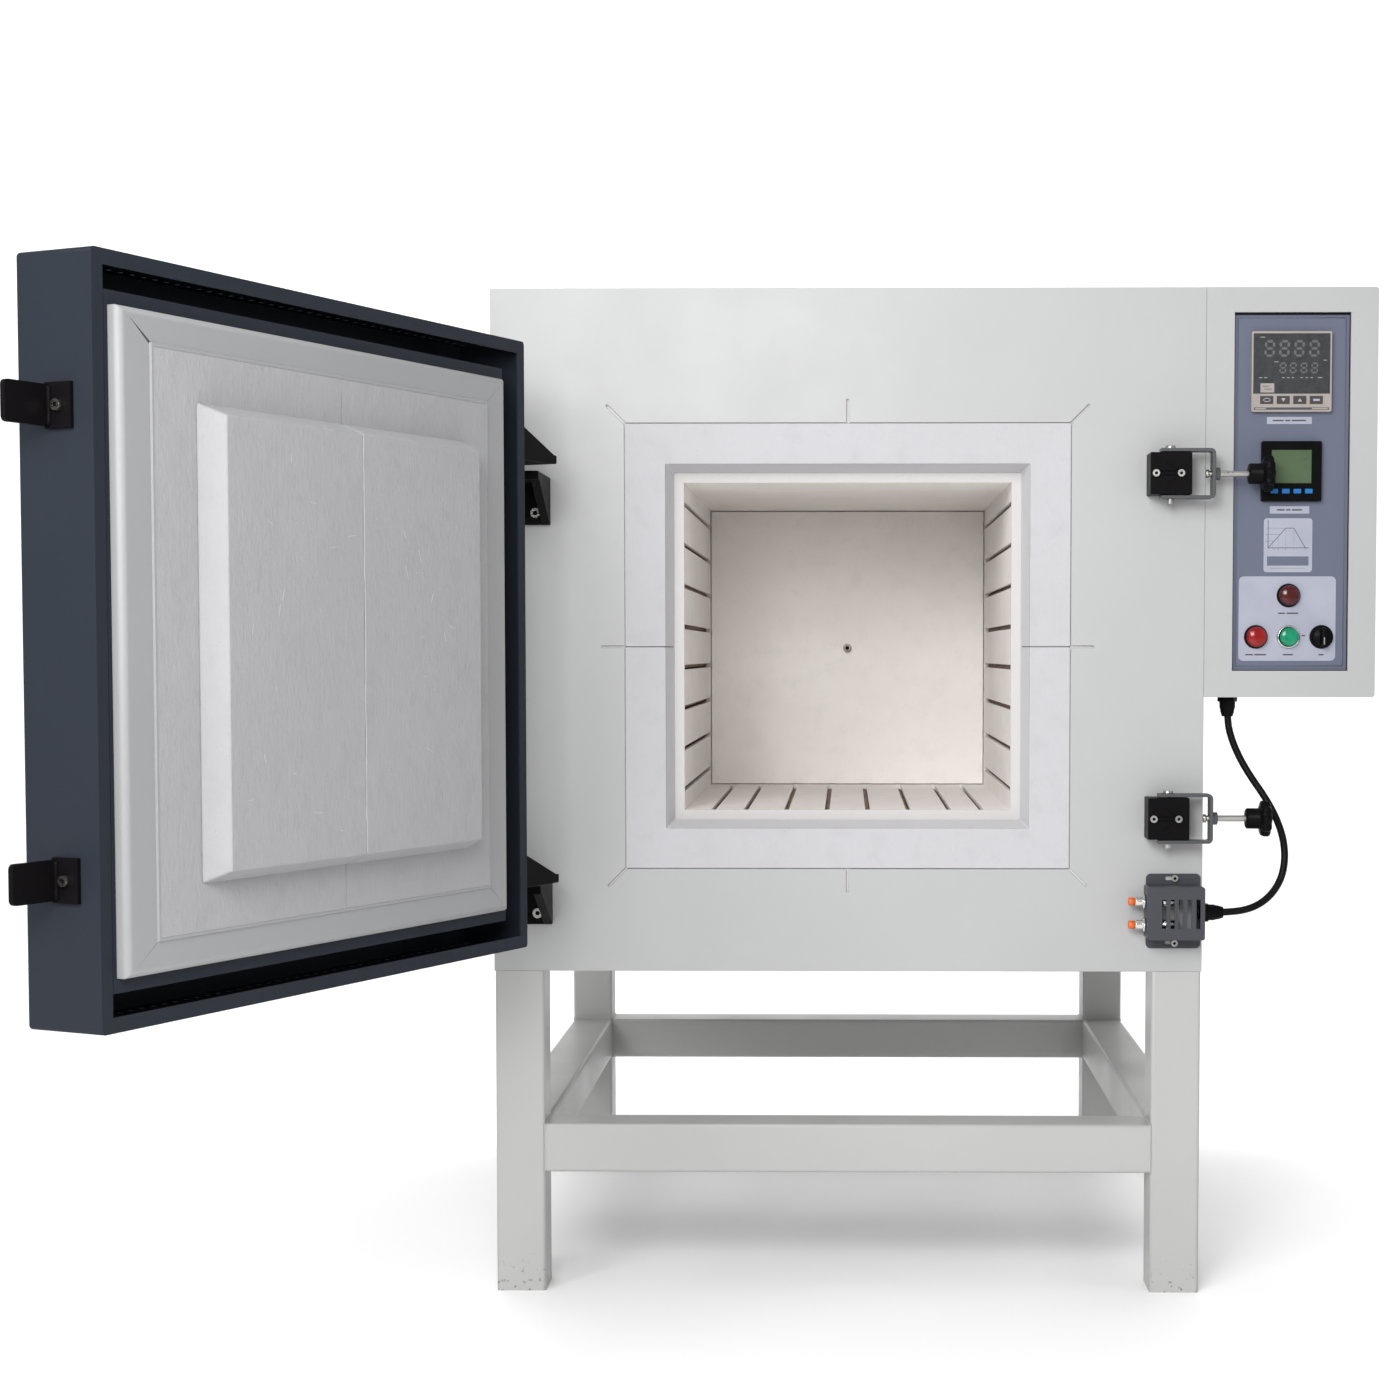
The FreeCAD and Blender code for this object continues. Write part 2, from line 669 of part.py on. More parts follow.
def indicator_lamps():
    """Red lamp and alarm lens, domed, each on its stem through the panel."""
    face = d.panel_inset - d.label_sheet
    lamps = []
    for spot in device_spots()[:2]:
        lamps.append(turned("y", spot, [
            (face - 13, 0), (face - 12, 7), (face - 10, 11), (face - 4, 11.8), (face - 4, 10.7),
            (face + 45, 10.7), (face + 45, 0)]))
    keep_piece("indicator_lamps", group(*lamps))


def switch_bezels():
    """Metal rings of the four devices, and the barrels of the button and the selector."""
    face = d.panel_inset - d.label_sheet
    rings = []
    for number, spot in enumerate(device_spots()):
        fixed_lens = number < 2
        bore = 10.8 if fixed_lens else 9
        ring = [(face - 3.8, bore), (face - 3.8, 12.5), (face - 2, d.bezel_radius - 1),
                (face, d.bezel_radius - 0.5), (face, bore)]
        if not fixed_lens:
            ring[-1:] = [(face, 10.8), (face + 50, 10.8), (face + 50, bore)]
            ring[0:1] = [(face - 3.8, bore)]
        rings.append(turned("y", spot, ring))
    keep_piece("switch_bezels", group(*rings))


def start_button_cap():
    """Domed push button, sprung, on its stem."""
    face = d.panel_inset - d.label_sheet
    keep_piece("start_button_cap", turned("y", (d.device_x, d.switch_z), [
        (face - 12, 0), (face - 11.4, 6), (face - 9.5, 10.4), (face - 7.3, 11.5),
        (face - 7.3, 8.7), (face + 40, 8.7), (face + 40, 0)]))


def selector_knob():
    """Two-way selector: skirted knob with a raised grip bar."""
    face = d.panel_inset - d.label_sheet
    spot = (d.selector_x, d.switch_z)
    skirt = turned("y", spot, [(face - 10, 0), (face - 10, 11.5), (face - 4, 12.3),
                               (face - 4, 8.7), (face + 40, 8.7), (face + 40, 0)])
    grip = box(centred(spot[0], 6), (face - 20, face - 9), centred(spot[1], 23))
    keep_piece("selector_knob", fuse(skirt, rounded(grip, "y", 2.5)))


def power_relays():
    """Rail inside the box with a contactor, a relay on its heat sink and a terminal row."""
    back = d.box_depth - d.box_sheet
    middle = 540
    rail = box((460, 620), (back - 8, back), (173, 208))
    contactor = box((470, 515), (back - 90, back - 8), (150, 230))
    relay = box((535, 580), (back - 60, back - 8), (150, 230))
    fins = [box((x, x + 2), (back - 95, back - 60), (145, 235)) for x in range(533, 583, 8)]
    terminals = [box((middle - 70 + 12 * n, middle - 59 + 12 * n), (back - 45, back), (60, 100))
                 for n in range(10)]
    keep_piece("power_relays", group(rail, contactor, fuse(relay, *fins), *terminals))


# ---------------------------------------------------------------- lock switch and cable

def gland_profile(start, direction, inner):
    """(along, radius) corners of a cable gland that stands out from `start`."""
    steps = [(-6, 3.5), (0, 3.5), (0, 7), (6, 7), (6, 5.1), (14, 5.1), (16, 4.1), (24, 2.1)]
    corners = [(start + direction * along, inner + wall) for along, wall in steps]
    return corners + [(corners[-1][0], inner), (corners[0][0], inner)]


def cable_glands():
    """Glands of the sensor cable, at the control box and the lock switch, and of the mains."""
    bore = d.cable_radius
    keep_piece("cable_glands", group(
        turned("z", (d.gland_x, d.gland_y), gland_profile(d.box_low, -1, bore)),
        turned("x", (d.sensor_y, d.switch_gland_z), gland_profile(d.cover_right, 1, bore)),
        turned("y", (d.mains_x, d.mains_z), gland_profile(d.body_depth, 1, d.mains_bore))))


CABLE_ROUTE = (
    (465, 35, -61), (465, 35, -90), (470, 34, -112), (480, 31, -136), (493, 25, -159),
    (508, 19, -181), (521, 13, -205), (530, 9, -231), (532, 4, -257), (526, -3, -282),
    (511, -11, -302), (490, -17, -315), (463, -20, -320), (435, -20, -320))
ROUTE_SHARE = 0.45


def tube_path(route):
    """Straight runs joined by tangent arcs, each as large as its two runs allow."""
    points = [Vector(*point) for point in route]
    edges, radii = [], []
    here = points[0]
    for before, corner, after in zip(points, points[1:], points[2:]):
        arriving, leaving = corner - before, after - corner
        turn = arriving.getAngle(leaving)
        trim = ROUTE_SHARE * min(arriving.Length, leaving.Length)
        radii.append(trim / math.tan(turn / 2))
        arriving.normalize()
        leaving.normalize()
        start, end = corner - arriving * trim, corner + leaving * trim
        bisector = (leaving - arriving).normalize()
        inward = radii[-1] * (1 / math.cos(turn / 2) - 1)
        edges.append(Part.LineSegment(here, start).toShape())
        edges.append(Part.Arc(start, corner + bisector * inward, end).toShape())
        here = end
    edges.append(Part.LineSegment(here, points[-1]).toShape())
    return Part.Wire(edges), radii


def sensor_cable():
    """Cable from the control box down to the lock switch, in a free loop."""
    path, radii = tube_path(CABLE_ROUTE)
    radius = sheet.get("cable_radius")
    start = path.Edges[0]
    circle = Part.Wire(Part.makeCircle(radius, start.valueAt(start.FirstParameter),
                                       start.tangentAt(start.FirstParameter)))
    tube = path.makePipeShell([circle], True, False)
    expected = math.pi * radius ** 2 * path.Length
    print(f"cable: length {path.Length:.0f}, smallest radius {min(radii):.0f}, "
          f"volume ratio {tube.Volume / expected:.3f}")
    cable = doc.addObject("Part::Feature", "Cable")
    cable.Shape = tube
    keep_piece("sensor_cable", cable)


def switch_cover():
    """Mounting plate with its louvred cover for the door's lock switch."""
    through = (-d.box_sheet - 1, 1)
    margin = 6
    window = box((d.cover_left + margin, d.flange_right - margin), through,
                 (d.cover_low + margin, d.cover_top - margin))
    slots = [window]
    shank = d.switch_head * SHANK_SHARE + SCREW_GAP
    for z in (d.switch_screw_high, d.switch_screw_low):
        x = (d.switch_screw_x - d.slot_long, d.switch_screw_x)
        slots.append(box(x, through, (z - shank, z + shank)))
        slots += [rod("y", (place, z), through, shank) for place in x]
    plate = cut(rounded(box((d.flange_left, d.flange_right), (-d.box_sheet, 0),
                            (d.flange_low, d.flange_top)), "y", margin), fuse(*slots))
    shell = rounded(box((d.cover_left, d.cover_right), (d.cover_front, -d.box_sheet),
                        (d.cover_low, d.cover_top)), "y", 3)
    wall = d.box_sheet
    hollow = box((d.cover_left + wall, d.cover_right - wall), (d.cover_front + wall, -wall),
                 (d.cover_low + wall, d.cover_top - wall))
    cuts = [hollow]
    for x in (380, 390, 400, 410.3, 421):
        cuts.append(box((x - 2.5, x + 2.5), (d.cover_front - 1, d.cover_front + wall), (-338, -303)))
    cuts.append(rod("x", (d.sensor_y, d.switch_gland_z), (d.cover_right - wall - 1, d.cover_right + 1),
                    8.1))
    for z in (d.sensor_high, d.sensor_low):
        cuts.append(rod("x", (d.sensor_y, z), (d.cover_left - 1, d.cover_left + wall + 1), 6.1))
    keep_piece("switch_cover", fuse(cut(shell, fuse(*cuts)), plate))


def proximity_sensors():
    """Two barrel sensors that look at the door's edge, each held by two nuts."""
    sensors = []
    tip, wall = d.sensor_tip, d.cover_left
    for z in (d.sensor_high, d.sensor_low):
        barrel = turned("x", (d.sensor_y, z), [
            (tip, 0), (tip, 5), (tip + 8, 5), (tip + 8, 6), (wall + 40, 6), (wall + 40, 0)])
        nut = turned("x", (d.sensor_y, z), [(wall - 4, 5.9), (wall - 4, 9), (wall, 9), (wall, 5.9)])
        sensors.append(fuse(barrel, nut))
    keep_piece("proximity_sensors", group(*sensors))


# ---------------------------------------------------------------- latches

BLOCK_SCREWS_X = (366.5, 396.2)
BLOCK_SCREW_HEAD = 4.25


def latch_blocks():
    """Black block of each latch, bolted to the case."""
    blocks = []
    for side in SIDES:
        middle = side * d.latch_z
        y = (d.block_front, Size(0))
        block = box((d.block_left, d.block_right), y, centred(middle, d.block_tall))
        holes = [screw_hole("y", (x, middle), (y[0] - 1, y[1] + 1), BLOCK_SCREW_HEAD)
                 for x in BLOCK_SCREWS_X]
        blocks.append(cut(block, *holes))
    keep_piece("latch_blocks", group(*blocks))


def at_latch(side, solid):
    """A latch piece modelled about its pivot, put at the upper or the lower latch."""
    return shifted(solid, (d.pivot_x, d.pivot_y, side * d.latch_z))


def latch_bail():
    """U-shaped strap: two arms on the block's pivot and a base that carries the screw."""
    inner = d.block_tall / 2 + d.strap_gap
    outer = inner + d.strap_thick
    half = d.strap_wide / 2
    reach = d.base_reach
    inside = reach - d.strap_thick
    strap = padded("XZ", (-half, half),
                   [(-half - 2, -outer), (reach, -outer), (reach, outer), (-half - 2, outer),
                    (-half - 2, inner), (inside, inner), (inside, -inner), (-half - 2, -inner)])
    strap = rounded(strap, "y", d.strap_bend, lambda spot: spot.x > inside.value + 1)
    strap = rounded(strap, "y", d.strap_bend - d.strap_thick,
                    lambda spot: abs(spot.x - inside.value) < 1 and abs(spot.z) < inner.value + 1)
    nut = rod("x", (0, 0), (reach, reach + d.nut_long), d.nut_radius)
    pivot = rod("z", (0, 0), (-outer - 1, outer + 1), PIVOT_RADIUS + SCREW_GAP)
    thread = rod("x", (0, 0), (reach - 10, reach + d.nut_long + 1), d.screw_radius + 0.05)
    return cut(fuse(strap, nut), fuse(pivot, thread))


def latch_pad():
    """Swivel foot on the screw's tip: a thin disc inside the bail."""
    tip = d.tip_reach
    return turned("x", (0, 0), [(tip - 3, 0), (tip - 3, 5), (tip, 5), (tip, 0)])


def latch_screw():
    """Screw from the pad out through the bail to the knob."""
    return rod("x", (0, 0), (d.tip_reach, d.knob_start + 10), d.screw_radius)


KNOB_LOBES = 10


def latch_knob():
    """Ribbed star knob with a collar."""
    start = d.knob_start
    star = start + d.collar_long
    body = turned("x", (0, 0), [
        (start, d.screw_radius), (start, 10.5), (start + 1.5, d.knob_collar), (star, d.knob_collar),
        (star, d.knob_radius - 2), (star + 2, d.knob_radius), (star + d.star_long - 2, d.knob_radius),
        (star + d.star_long, d.knob_radius - 4), (star + d.star_long, 0), (start + 10, 0),
        (start + 10, d.screw_radius)])
    notches = []
    for step in range(KNOB_LOBES):
        turn = Placement(Vector(), Rotation(Vector(1, 0, 0), (step + 0.5) * 360 / KNOB_LOBES))
        notch = rod("x", (0, d.knob_radius + 1.5), (star - 1, star + d.star_long + 1), 4)
        notches.append(placed(group(notch), turn))
    return cut(body, *notches)


def latches():
    builders = {"bail": latch_bail, "pad": latch_pad, "screw": latch_screw, "knob": latch_knob}
    for piece, build in builders.items():
        solid = build()
        for word, side in (("upper", 1), ("lower", -1)):
            keep_piece(f"latch_{word}_{piece}", at_latch(side, solid))


# ---------------------------------------------------------------- hinges

HINGE_SCREW_HEAD = 6


def hinge_screw_spots():
    """(X, Z) of the two screws of the upper bracket."""
    z = d.hinge_low + d.hinge_screw_up
    return [(d.hinge_x + 8, z), (d.hinge_screw_x, z)]


def hinge_body_brackets():
    """Lower half of each hinge, on the case: back plate, shelf, block for the pin and gussets."""
    low, high = d.hinge_low, d.hinge_high
    left, right = d.hinge_x - 17, d.bracket_right
    back = box((left, right), (-8, 0), (low, high))
    shelf = box((left, right), (d.hinge_y - 4, -8), (high - 10, high))
    nose = rod("z", (d.hinge_x, d.hinge_y), (high - 22, high), 15)
    gussets = [padded("YZ", span, [(-8, low), (-8, high - 10), (d.hinge_y + 4, high - 10)])
               for span in ((right - 10, right), (left, left + 10))]
    bore = rod("z", (d.hinge_x, d.hinge_y), (high - 40, high + 1), d.pin_radius)
    holes = [screw_hole("y", spot, (-9, 1), HINGE_SCREW_HEAD) for spot in hinge_screw_spots()]
    bracket = cut(fuse(back, shelf, nose, *gussets), bore, *holes)
    keep_piece("hinge_body_brackets", group(bracket, shifted(bracket, (0, 0, -d.hinge_spacing))))


def hinge_pins():
    """Upright pins pressed into the case brackets, each with its thrust washer."""
    low, top = d.hinge_high - 22, d.ear_high + 3
    pin = turned("z", (d.hinge_x, d.hinge_y), [
        (low, 0), (low, d.pin_radius), (d.hinge_high, d.pin_radius), (d.hinge_high, 14),
        (d.hinge_high + d.washer_thick - 0.2, 14), (d.hinge_high + d.washer_thick - 0.2, d.pin_radius),
        (top - 1, d.pin_radius), (top, d.pin_radius - 1), (top, 0)])
    keep_piece("hinge_pins", group(pin, shifted(pin, (0, 0, -d.hinge_spacing))))


# ---------------------------------------------------------------- door
# The door is modelled shut and then swung open about its hinge pins.

def on_door(label, solid):
    """Keep a piece of the door, swung open with it."""
    held = group(solid)
    held.Placement = Placement(Vector(), Rotation(Vector(0, 0, -1), 1))
    bind(held, "Placement.Rotation.Angle", d.door_open)
    cosine, sine = f"cos({d.door_open.text})", f"sin({d.door_open.text})"
    across, along = d.hinge_x.text, d.hinge_y.text
    held.setExpression("Placement.Base.x", f"{across} - {across} * {cosine} - {along} * {sine}")
    held.setExpression("Placement.Base.y", f"{along} + {across} * {sine} - {along} * {cosine}")
    keep_piece(label, held)


def door_across(distance):
    """X on the shut door at a distance from its hinge edge."""
    return d.door_left + distance


VENTS = 42
HOOK_SCREW_HEAD = 5
BLANKET_THICK = 20


def door_shell():
    """Welded pan: outer skin, four sides with a return lip, vent holes and an inner frame."""
    half, thick = d.door_half, d.door_sheet
    left, right, inner, outer = d.door_left, d.door_right, d.door_inner, d.door_outer
    skin = rounded(box((left, right), (outer, inner), (-half, half)), "y", d.case_round)
    skin = rounded(skin, "z", d.case_round, lambda middle: middle.y < -100)
    lip = d.door_lip
    hollow = box((left + thick, right - thick), (outer + thick, inner - thick),
                 (-half + thick, half - thick))
    mouth = box((left + lip, right - lip), (inner - thick - 1, inner + 1),
                (-half + lip, half - lip))
    first = left + thick + d.vent_pitch
    vents = [rod("z", (first + d.vent_pitch * step, inner - d.vent_deep), (-half - 1, half + 1),
                 d.vent_radius) for step in range(VENTS)]
    screws = [screw_hole("x", (d.hook_screw_y, side * d.latch_z), (right - thick - 1, right + 1),
                         HOOK_SCREW_HEAD) for side in SIDES]
    pan = cut(skin, fuse(hollow, mouth), *vents, *screws)
    on_door("door_shell", fuse(pan, inner_frame()))


def tray_spans():
    return (door_across(d.tray_left), door_across(d.tray_right)), (-d.tray_half, d.tray_half)


def tray_bottom():
    return d.door_outer + d.door_sheet + BLANKET_THICK


def board_spans(margin=0):
    """Spans of the board in the tray, or of a frame a margin wider all round."""
    x, z = tray_spans()
    in_x, in_z = d.board_inset_x - margin, d.board_inset_z - margin
    return (x[0] + in_x, x[1] - in_x), (z[0] + in_z, z[1] - in_z)


def door_tray():
    """Light tray that carries the lining: a rounded rim, and a hem that stands round the board."""
    x, z = tray_spans()
    y = (tray_bottom(), d.door_inner + d.tray_proud)
    face = y[1].value
    block = rounded(box(x, y, z), "xz", d.tray_round, lambda middle: middle.y > face - 1)
    hem_x, hem_z = board_spans(d.hem_wide)
    hem = box(hem_x, (y[1] - 1, y[1] + d.hem_proud), hem_z)
    well_x, well_z = board_spans()
    well = box(well_x, (y[0] - 1, y[1] + d.hem_proud + 1), well_z)
    on_door("door_tray", cut(fuse(block, hem), well))


def inner_frame():
    """Frame welded in the pan round the tray: it walls off the hollow rim."""
    x, z = tray_spans()
    thick = d.door_sheet
    front = d.door_inner - 1
    hinge_side, free_side = x[0] - d.frame_margin, x[1] + d.frame_free_margin
    low, high = z[0] - d.frame_margin, z[1] + d.frame_margin
    skin = d.door_outer + thick
    block = box((hinge_side, free_side), (skin, front), (low, high))
    hollow = box((hinge_side + thick, free_side - thick), (skin - 1, front - thick),
                 (low + thick, high - thick))
    play = 0.3
    seat = box((x[0] - play, x[1] + play), (front - thick - 1, front + 1),
               (z[0] - play, z[1] + play))
    return cut(block, fuse(hollow, seat))


def door_insulation():
    """Fibre blanket between the door's skin and the tray."""
    x, z = tray_spans()
    on_door("door_insulation", box(x, (d.door_outer + d.door_sheet, tray_bottom()), z))


def board_face():
    return d.door_inner + d.tray_proud + d.board_proud


def door_board():
    """Fibre board in the tray, in two halves that meet on the mouth's centre line."""
    x, z = board_spans()
    y = (tray_bottom(), board_face())
    seam = d.seam_gap / 2
    on_door("door_board", group(box((x[0], -seam), y, z), box((seam, x[1]), y, z)))


def door_plug():
    """Tapered plug that closes the mouth, in two halves."""
    low = board_face()
    halves = []
    for side in SIDES:
        plug = doc.addObject("Part::Wedge", "Plug")
        wide, narrow, seam = side * d.plug_base, side * d.plug_front, side * d.seam_gap / 2
        x_wide = (wide, seam) if side < 0 else (seam, wide)
        x_narrow = (narrow, seam) if side < 0 else (seam, narrow)
        for prop, size in (("Xmin", x_wide[0]), ("Xmax", x_wide[1]), ("X2min", x_narrow[0]),
                           ("X2max", x_narrow[1]), ("Zmin", -d.plug_base), ("Zmax", d.plug_base),
                           ("Z2min", -d.plug_front), ("Z2max", d.plug_front),
                           ("Ymin", low), ("Ymax", low + d.plug_proud)):
            bind(plug, prop, size)
        halves.append(plug)
    on_door("door_plug", group(*halves))


def door_hooks():
    """Angle hooks on the door's free edge that the latch bails drop over."""
    hooks = []
    edge, front = d.door_right, d.hook_front
    for side in SIDES:
        middle = side * d.latch_z
        plate = box((edge, edge + 4), (front, front + 29), centred(middle, 40))
        leg = box((edge, edge + d.hook_reach), (front, front + 5), centred(middle, 36))
        hook = fuse(plate, rounded(leg, "y", 5, lambda spot: spot.x > 380))
        hole = screw_hole("x", (d.hook_screw_y, middle), (edge - 1, edge + 5), HOOK_SCREW_HEAD)
        hooks.append(cut(hook, hole))
    on_door("door_hooks", group(*hooks))


def door_hinge_brackets():
    """Upper half of each hinge, on the door: an ear bored for the pin, and its gusset."""
    edge, tip = d.door_left, d.hinge_x - d.ear_tip
    front, rear = d.hinge_y - 6, d.door_inner - 4
    ear = box((tip, edge), (front, rear), (d.ear_low, d.ear_high))
    gusset = padded("XZ", (rear - 8, rear), [
        (tip, d.ear_low), (edge, d.ear_low), (edge, d.gusset_high), (tip, d.ear_high - 2)])
    flat = box((edge - 6, edge), (d.door_outer + 8, rear), (d.ear_low, d.gusset_high))
    boss = rod("z", (d.hinge_x, d.hinge_y), (d.ear_low, d.ear_high), 17)
    bore = rod("z", (d.hinge_x, d.hinge_y), (d.ear_low - 1, d.ear_high + 1),
               d.pin_radius + d.pin_gap)
    bracket = cut(fuse(ear, gusset, flat, boss), bore)
    on_door("door_hinge_brackets", group(bracket, shifted(bracket, (0, 0, -d.hinge_spacing))))


def door_screws():
    """Socket screws that hold the hooks."""
    edge = d.door_right
    screws = [socket_screw("x", (d.hook_screw_y, side * d.latch_z), (edge + 4, edge + 9),
                           HOOK_SCREW_HEAD, edge - 8) for side in SIDES]
    on_door("door_screws", group(*screws))


# ---------------------------------------------------------------- fasteners on the case

PIVOT_RADIUS = 4
PIVOT_PLAY = 0.3
PIVOT_ENDS = ((1, 6.4, 3), (-1, 4.8, 5.5))


def casing_screws():
    """Screws of the latch blocks, their pivots, the hinge brackets and the lock switch."""
    screws = []
    inner = d.block_tall / 2
    outer = inner + d.strap_gap + d.strap_thick
    for side in SIDES:
        middle = side * d.latch_z
        for x in BLOCK_SCREWS_X:
            screws.append(socket_screw("y", (x, middle), (d.block_front, d.block_front - 4),
                                       BLOCK_SCREW_HEAD, 0))
        for way, head, tall in PIVOT_ENDS:
            start = outer + PIVOT_PLAY
            screws.append(turned("z", (d.pivot_x, d.pivot_y), [
                (middle + way * inner, 0), (middle + way * inner, PIVOT_RADIUS),
                (middle + way * start, PIVOT_RADIUS), (middle + way * start, head),
                (middle + way * (start + tall), head - 0.6), (middle + way * (start + tall), 0)]))
    for x, z in hinge_screw_spots():
        for low in (Size(0), d.hinge_spacing):
            screws.append(socket_screw("y", (x, z - low), (-8, -13), HINGE_SCREW_HEAD, 0))
    for z in (d.switch_screw_high, d.switch_screw_low):
        screws.append(socket_screw("y", (d.switch_screw_x, z), (-d.box_sheet, -6),
                                   d.switch_head, 0))
    keep_piece("casing_screws", group(*screws))


# ---------------------------------------------------------------- assembly

BUILDERS = (
    stand_legs, stand_rails, casing_wrap, casing_front_plate, casing_bottom_panel,
    casing_back_panel, rear_terminal_cover, backing_insulation, mouth_collar, side_wall_boards,
    floor_board, ceiling_board, rear_board, heating_elements, element_terminals, thermocouple,
    control_box_shell, control_panel_plate, panel_labels, indicator_lamps, switch_bezels,
    start_button_cap, selector_knob, power_relays, cable_glands, sensor_cable, switch_cover,
    proximity_sensors, latch_blocks, latches, hinge_body_brackets, hinge_pins, door_shell,
    door_tray, door_insulation, door_board, door_plug, door_hooks, door_hinge_brackets, door_screws,
    casing_screws)

for builder in BUILDERS:
    builder()
instrument(d.device_x, d.controller_z, d.controller_side, (92, 72, 9.5), CONTROLLER_KEYS,
           "controller")
instrument(d.meter_x, d.meter_z, d.meter_side, (48, 40, 5.5), METER_KEYS, "meter")
doc.recompute()

failed = [item.Name for item in doc.Objects if {"Invalid", "Error"} & set(item.State)]
if failed:
    raise RuntimeError(f"objects not computed: {failed}")
for piece in pieces:
    if piece.Shape.isNull() or not piece.Shape.isValid():
        raise RuntimeError(f"{piece.Label} has no valid shape")
os.makedirs("parts", exist_ok=True)
for piece in pieces:
    piece.Shape.exportStep(f"parts/{piece.Label}.step")
print(f"{len(pieces)} sub-parts")
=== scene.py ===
import bpy
import json
import math
import random
from mathutils import Matrix, Vector


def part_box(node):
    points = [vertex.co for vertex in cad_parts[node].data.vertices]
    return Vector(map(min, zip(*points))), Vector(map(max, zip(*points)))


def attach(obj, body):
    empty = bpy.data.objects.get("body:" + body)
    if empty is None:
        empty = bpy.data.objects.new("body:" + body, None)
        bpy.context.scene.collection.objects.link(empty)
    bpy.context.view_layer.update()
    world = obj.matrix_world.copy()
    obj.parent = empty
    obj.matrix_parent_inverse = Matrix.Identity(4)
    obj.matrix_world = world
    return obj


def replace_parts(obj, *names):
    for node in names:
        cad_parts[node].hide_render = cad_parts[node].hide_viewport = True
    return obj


# A front-loading electric kiln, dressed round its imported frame.  Metres, in the frame's axes:
# +X towards the control box, +Y into the kiln, +Z up, origin at the middle of the mouth.

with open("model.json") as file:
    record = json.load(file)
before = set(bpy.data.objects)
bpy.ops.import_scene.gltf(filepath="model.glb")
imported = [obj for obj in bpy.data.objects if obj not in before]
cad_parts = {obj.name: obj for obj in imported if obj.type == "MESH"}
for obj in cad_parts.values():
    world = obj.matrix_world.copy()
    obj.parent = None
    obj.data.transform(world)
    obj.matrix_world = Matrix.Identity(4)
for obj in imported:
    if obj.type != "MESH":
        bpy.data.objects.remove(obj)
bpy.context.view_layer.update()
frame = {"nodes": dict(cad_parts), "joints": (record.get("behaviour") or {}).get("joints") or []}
nodes = frame["nodes"]
joints = {joint["name"]: joint for joint in frame["joints"]}
MM = 0.001
FLOOR = -0.79
TURN = 2 * math.pi
SIDES = (-1, 1)


# ---------------------------------------------------------------- camera and light

def make_camera():
    data = bpy.data.cameras.new("camera")
    data.lens = 60.55
    data.sensor_width = 36
    data.shift_x = -0.0837
    data.shift_y = 0.0499
    data.clip_end = 50
    camera = bpy.data.objects.new("camera", data)
    camera.location = (-0.0016, -2.8546, -0.0086)
    camera.rotation_euler = (math.pi / 2 - 0.0492, 0, 0.0123)
    bpy.context.scene.collection.objects.link(camera)
    bpy.context.scene.camera = camera


def area_light(name, place, target, size, power):
    data = bpy.data.lights.new(name, "AREA")
    data.shape = "RECTANGLE"
    data.size, data.size_y = size
    data.energy = power
    light = bpy.data.objects.new(name, data)
    light.location = place
    light.rotation_euler = (Vector(target) - Vector(place)).to_track_quat("-Z", "Y").to_euler()
    bpy.context.scene.collection.objects.link(light)


def make_lights():
    scene = bpy.context.scene
    scene.view_settings.view_transform = "Standard"
    world = bpy.data.worlds.new("studio")
    world.use_nodes = True
    world.node_tree.nodes["Background"].inputs["Color"].default_value = (1, 1, 1, 1)
    world.node_tree.nodes["Background"].inputs["Strength"].default_value = 0.5
    scene.world = world
    area_light("key", (-1.7, -3.6, 1.7), (0, 0, 0), (2.4, 2.0), 115)
    area_light("side", (3.2, -1.6, 1.2), (0, 0, 0), (1.8, 1.8), 5)
    area_light("top", (0, 0.3, 3.2), (0, 0.3, 0), (2.5, 2.5), 16)
    area_light("chamber", (-0.25, -2.3, 0.65), (0, 0.5, -0.1), (0.8, 0.8), 30)
    area_light("backdrop", (0, 1.5, 2.7), (0, 3.4, 0.2), (5.0, 1.2), 90)


# ---------------------------------------------------------------- materials

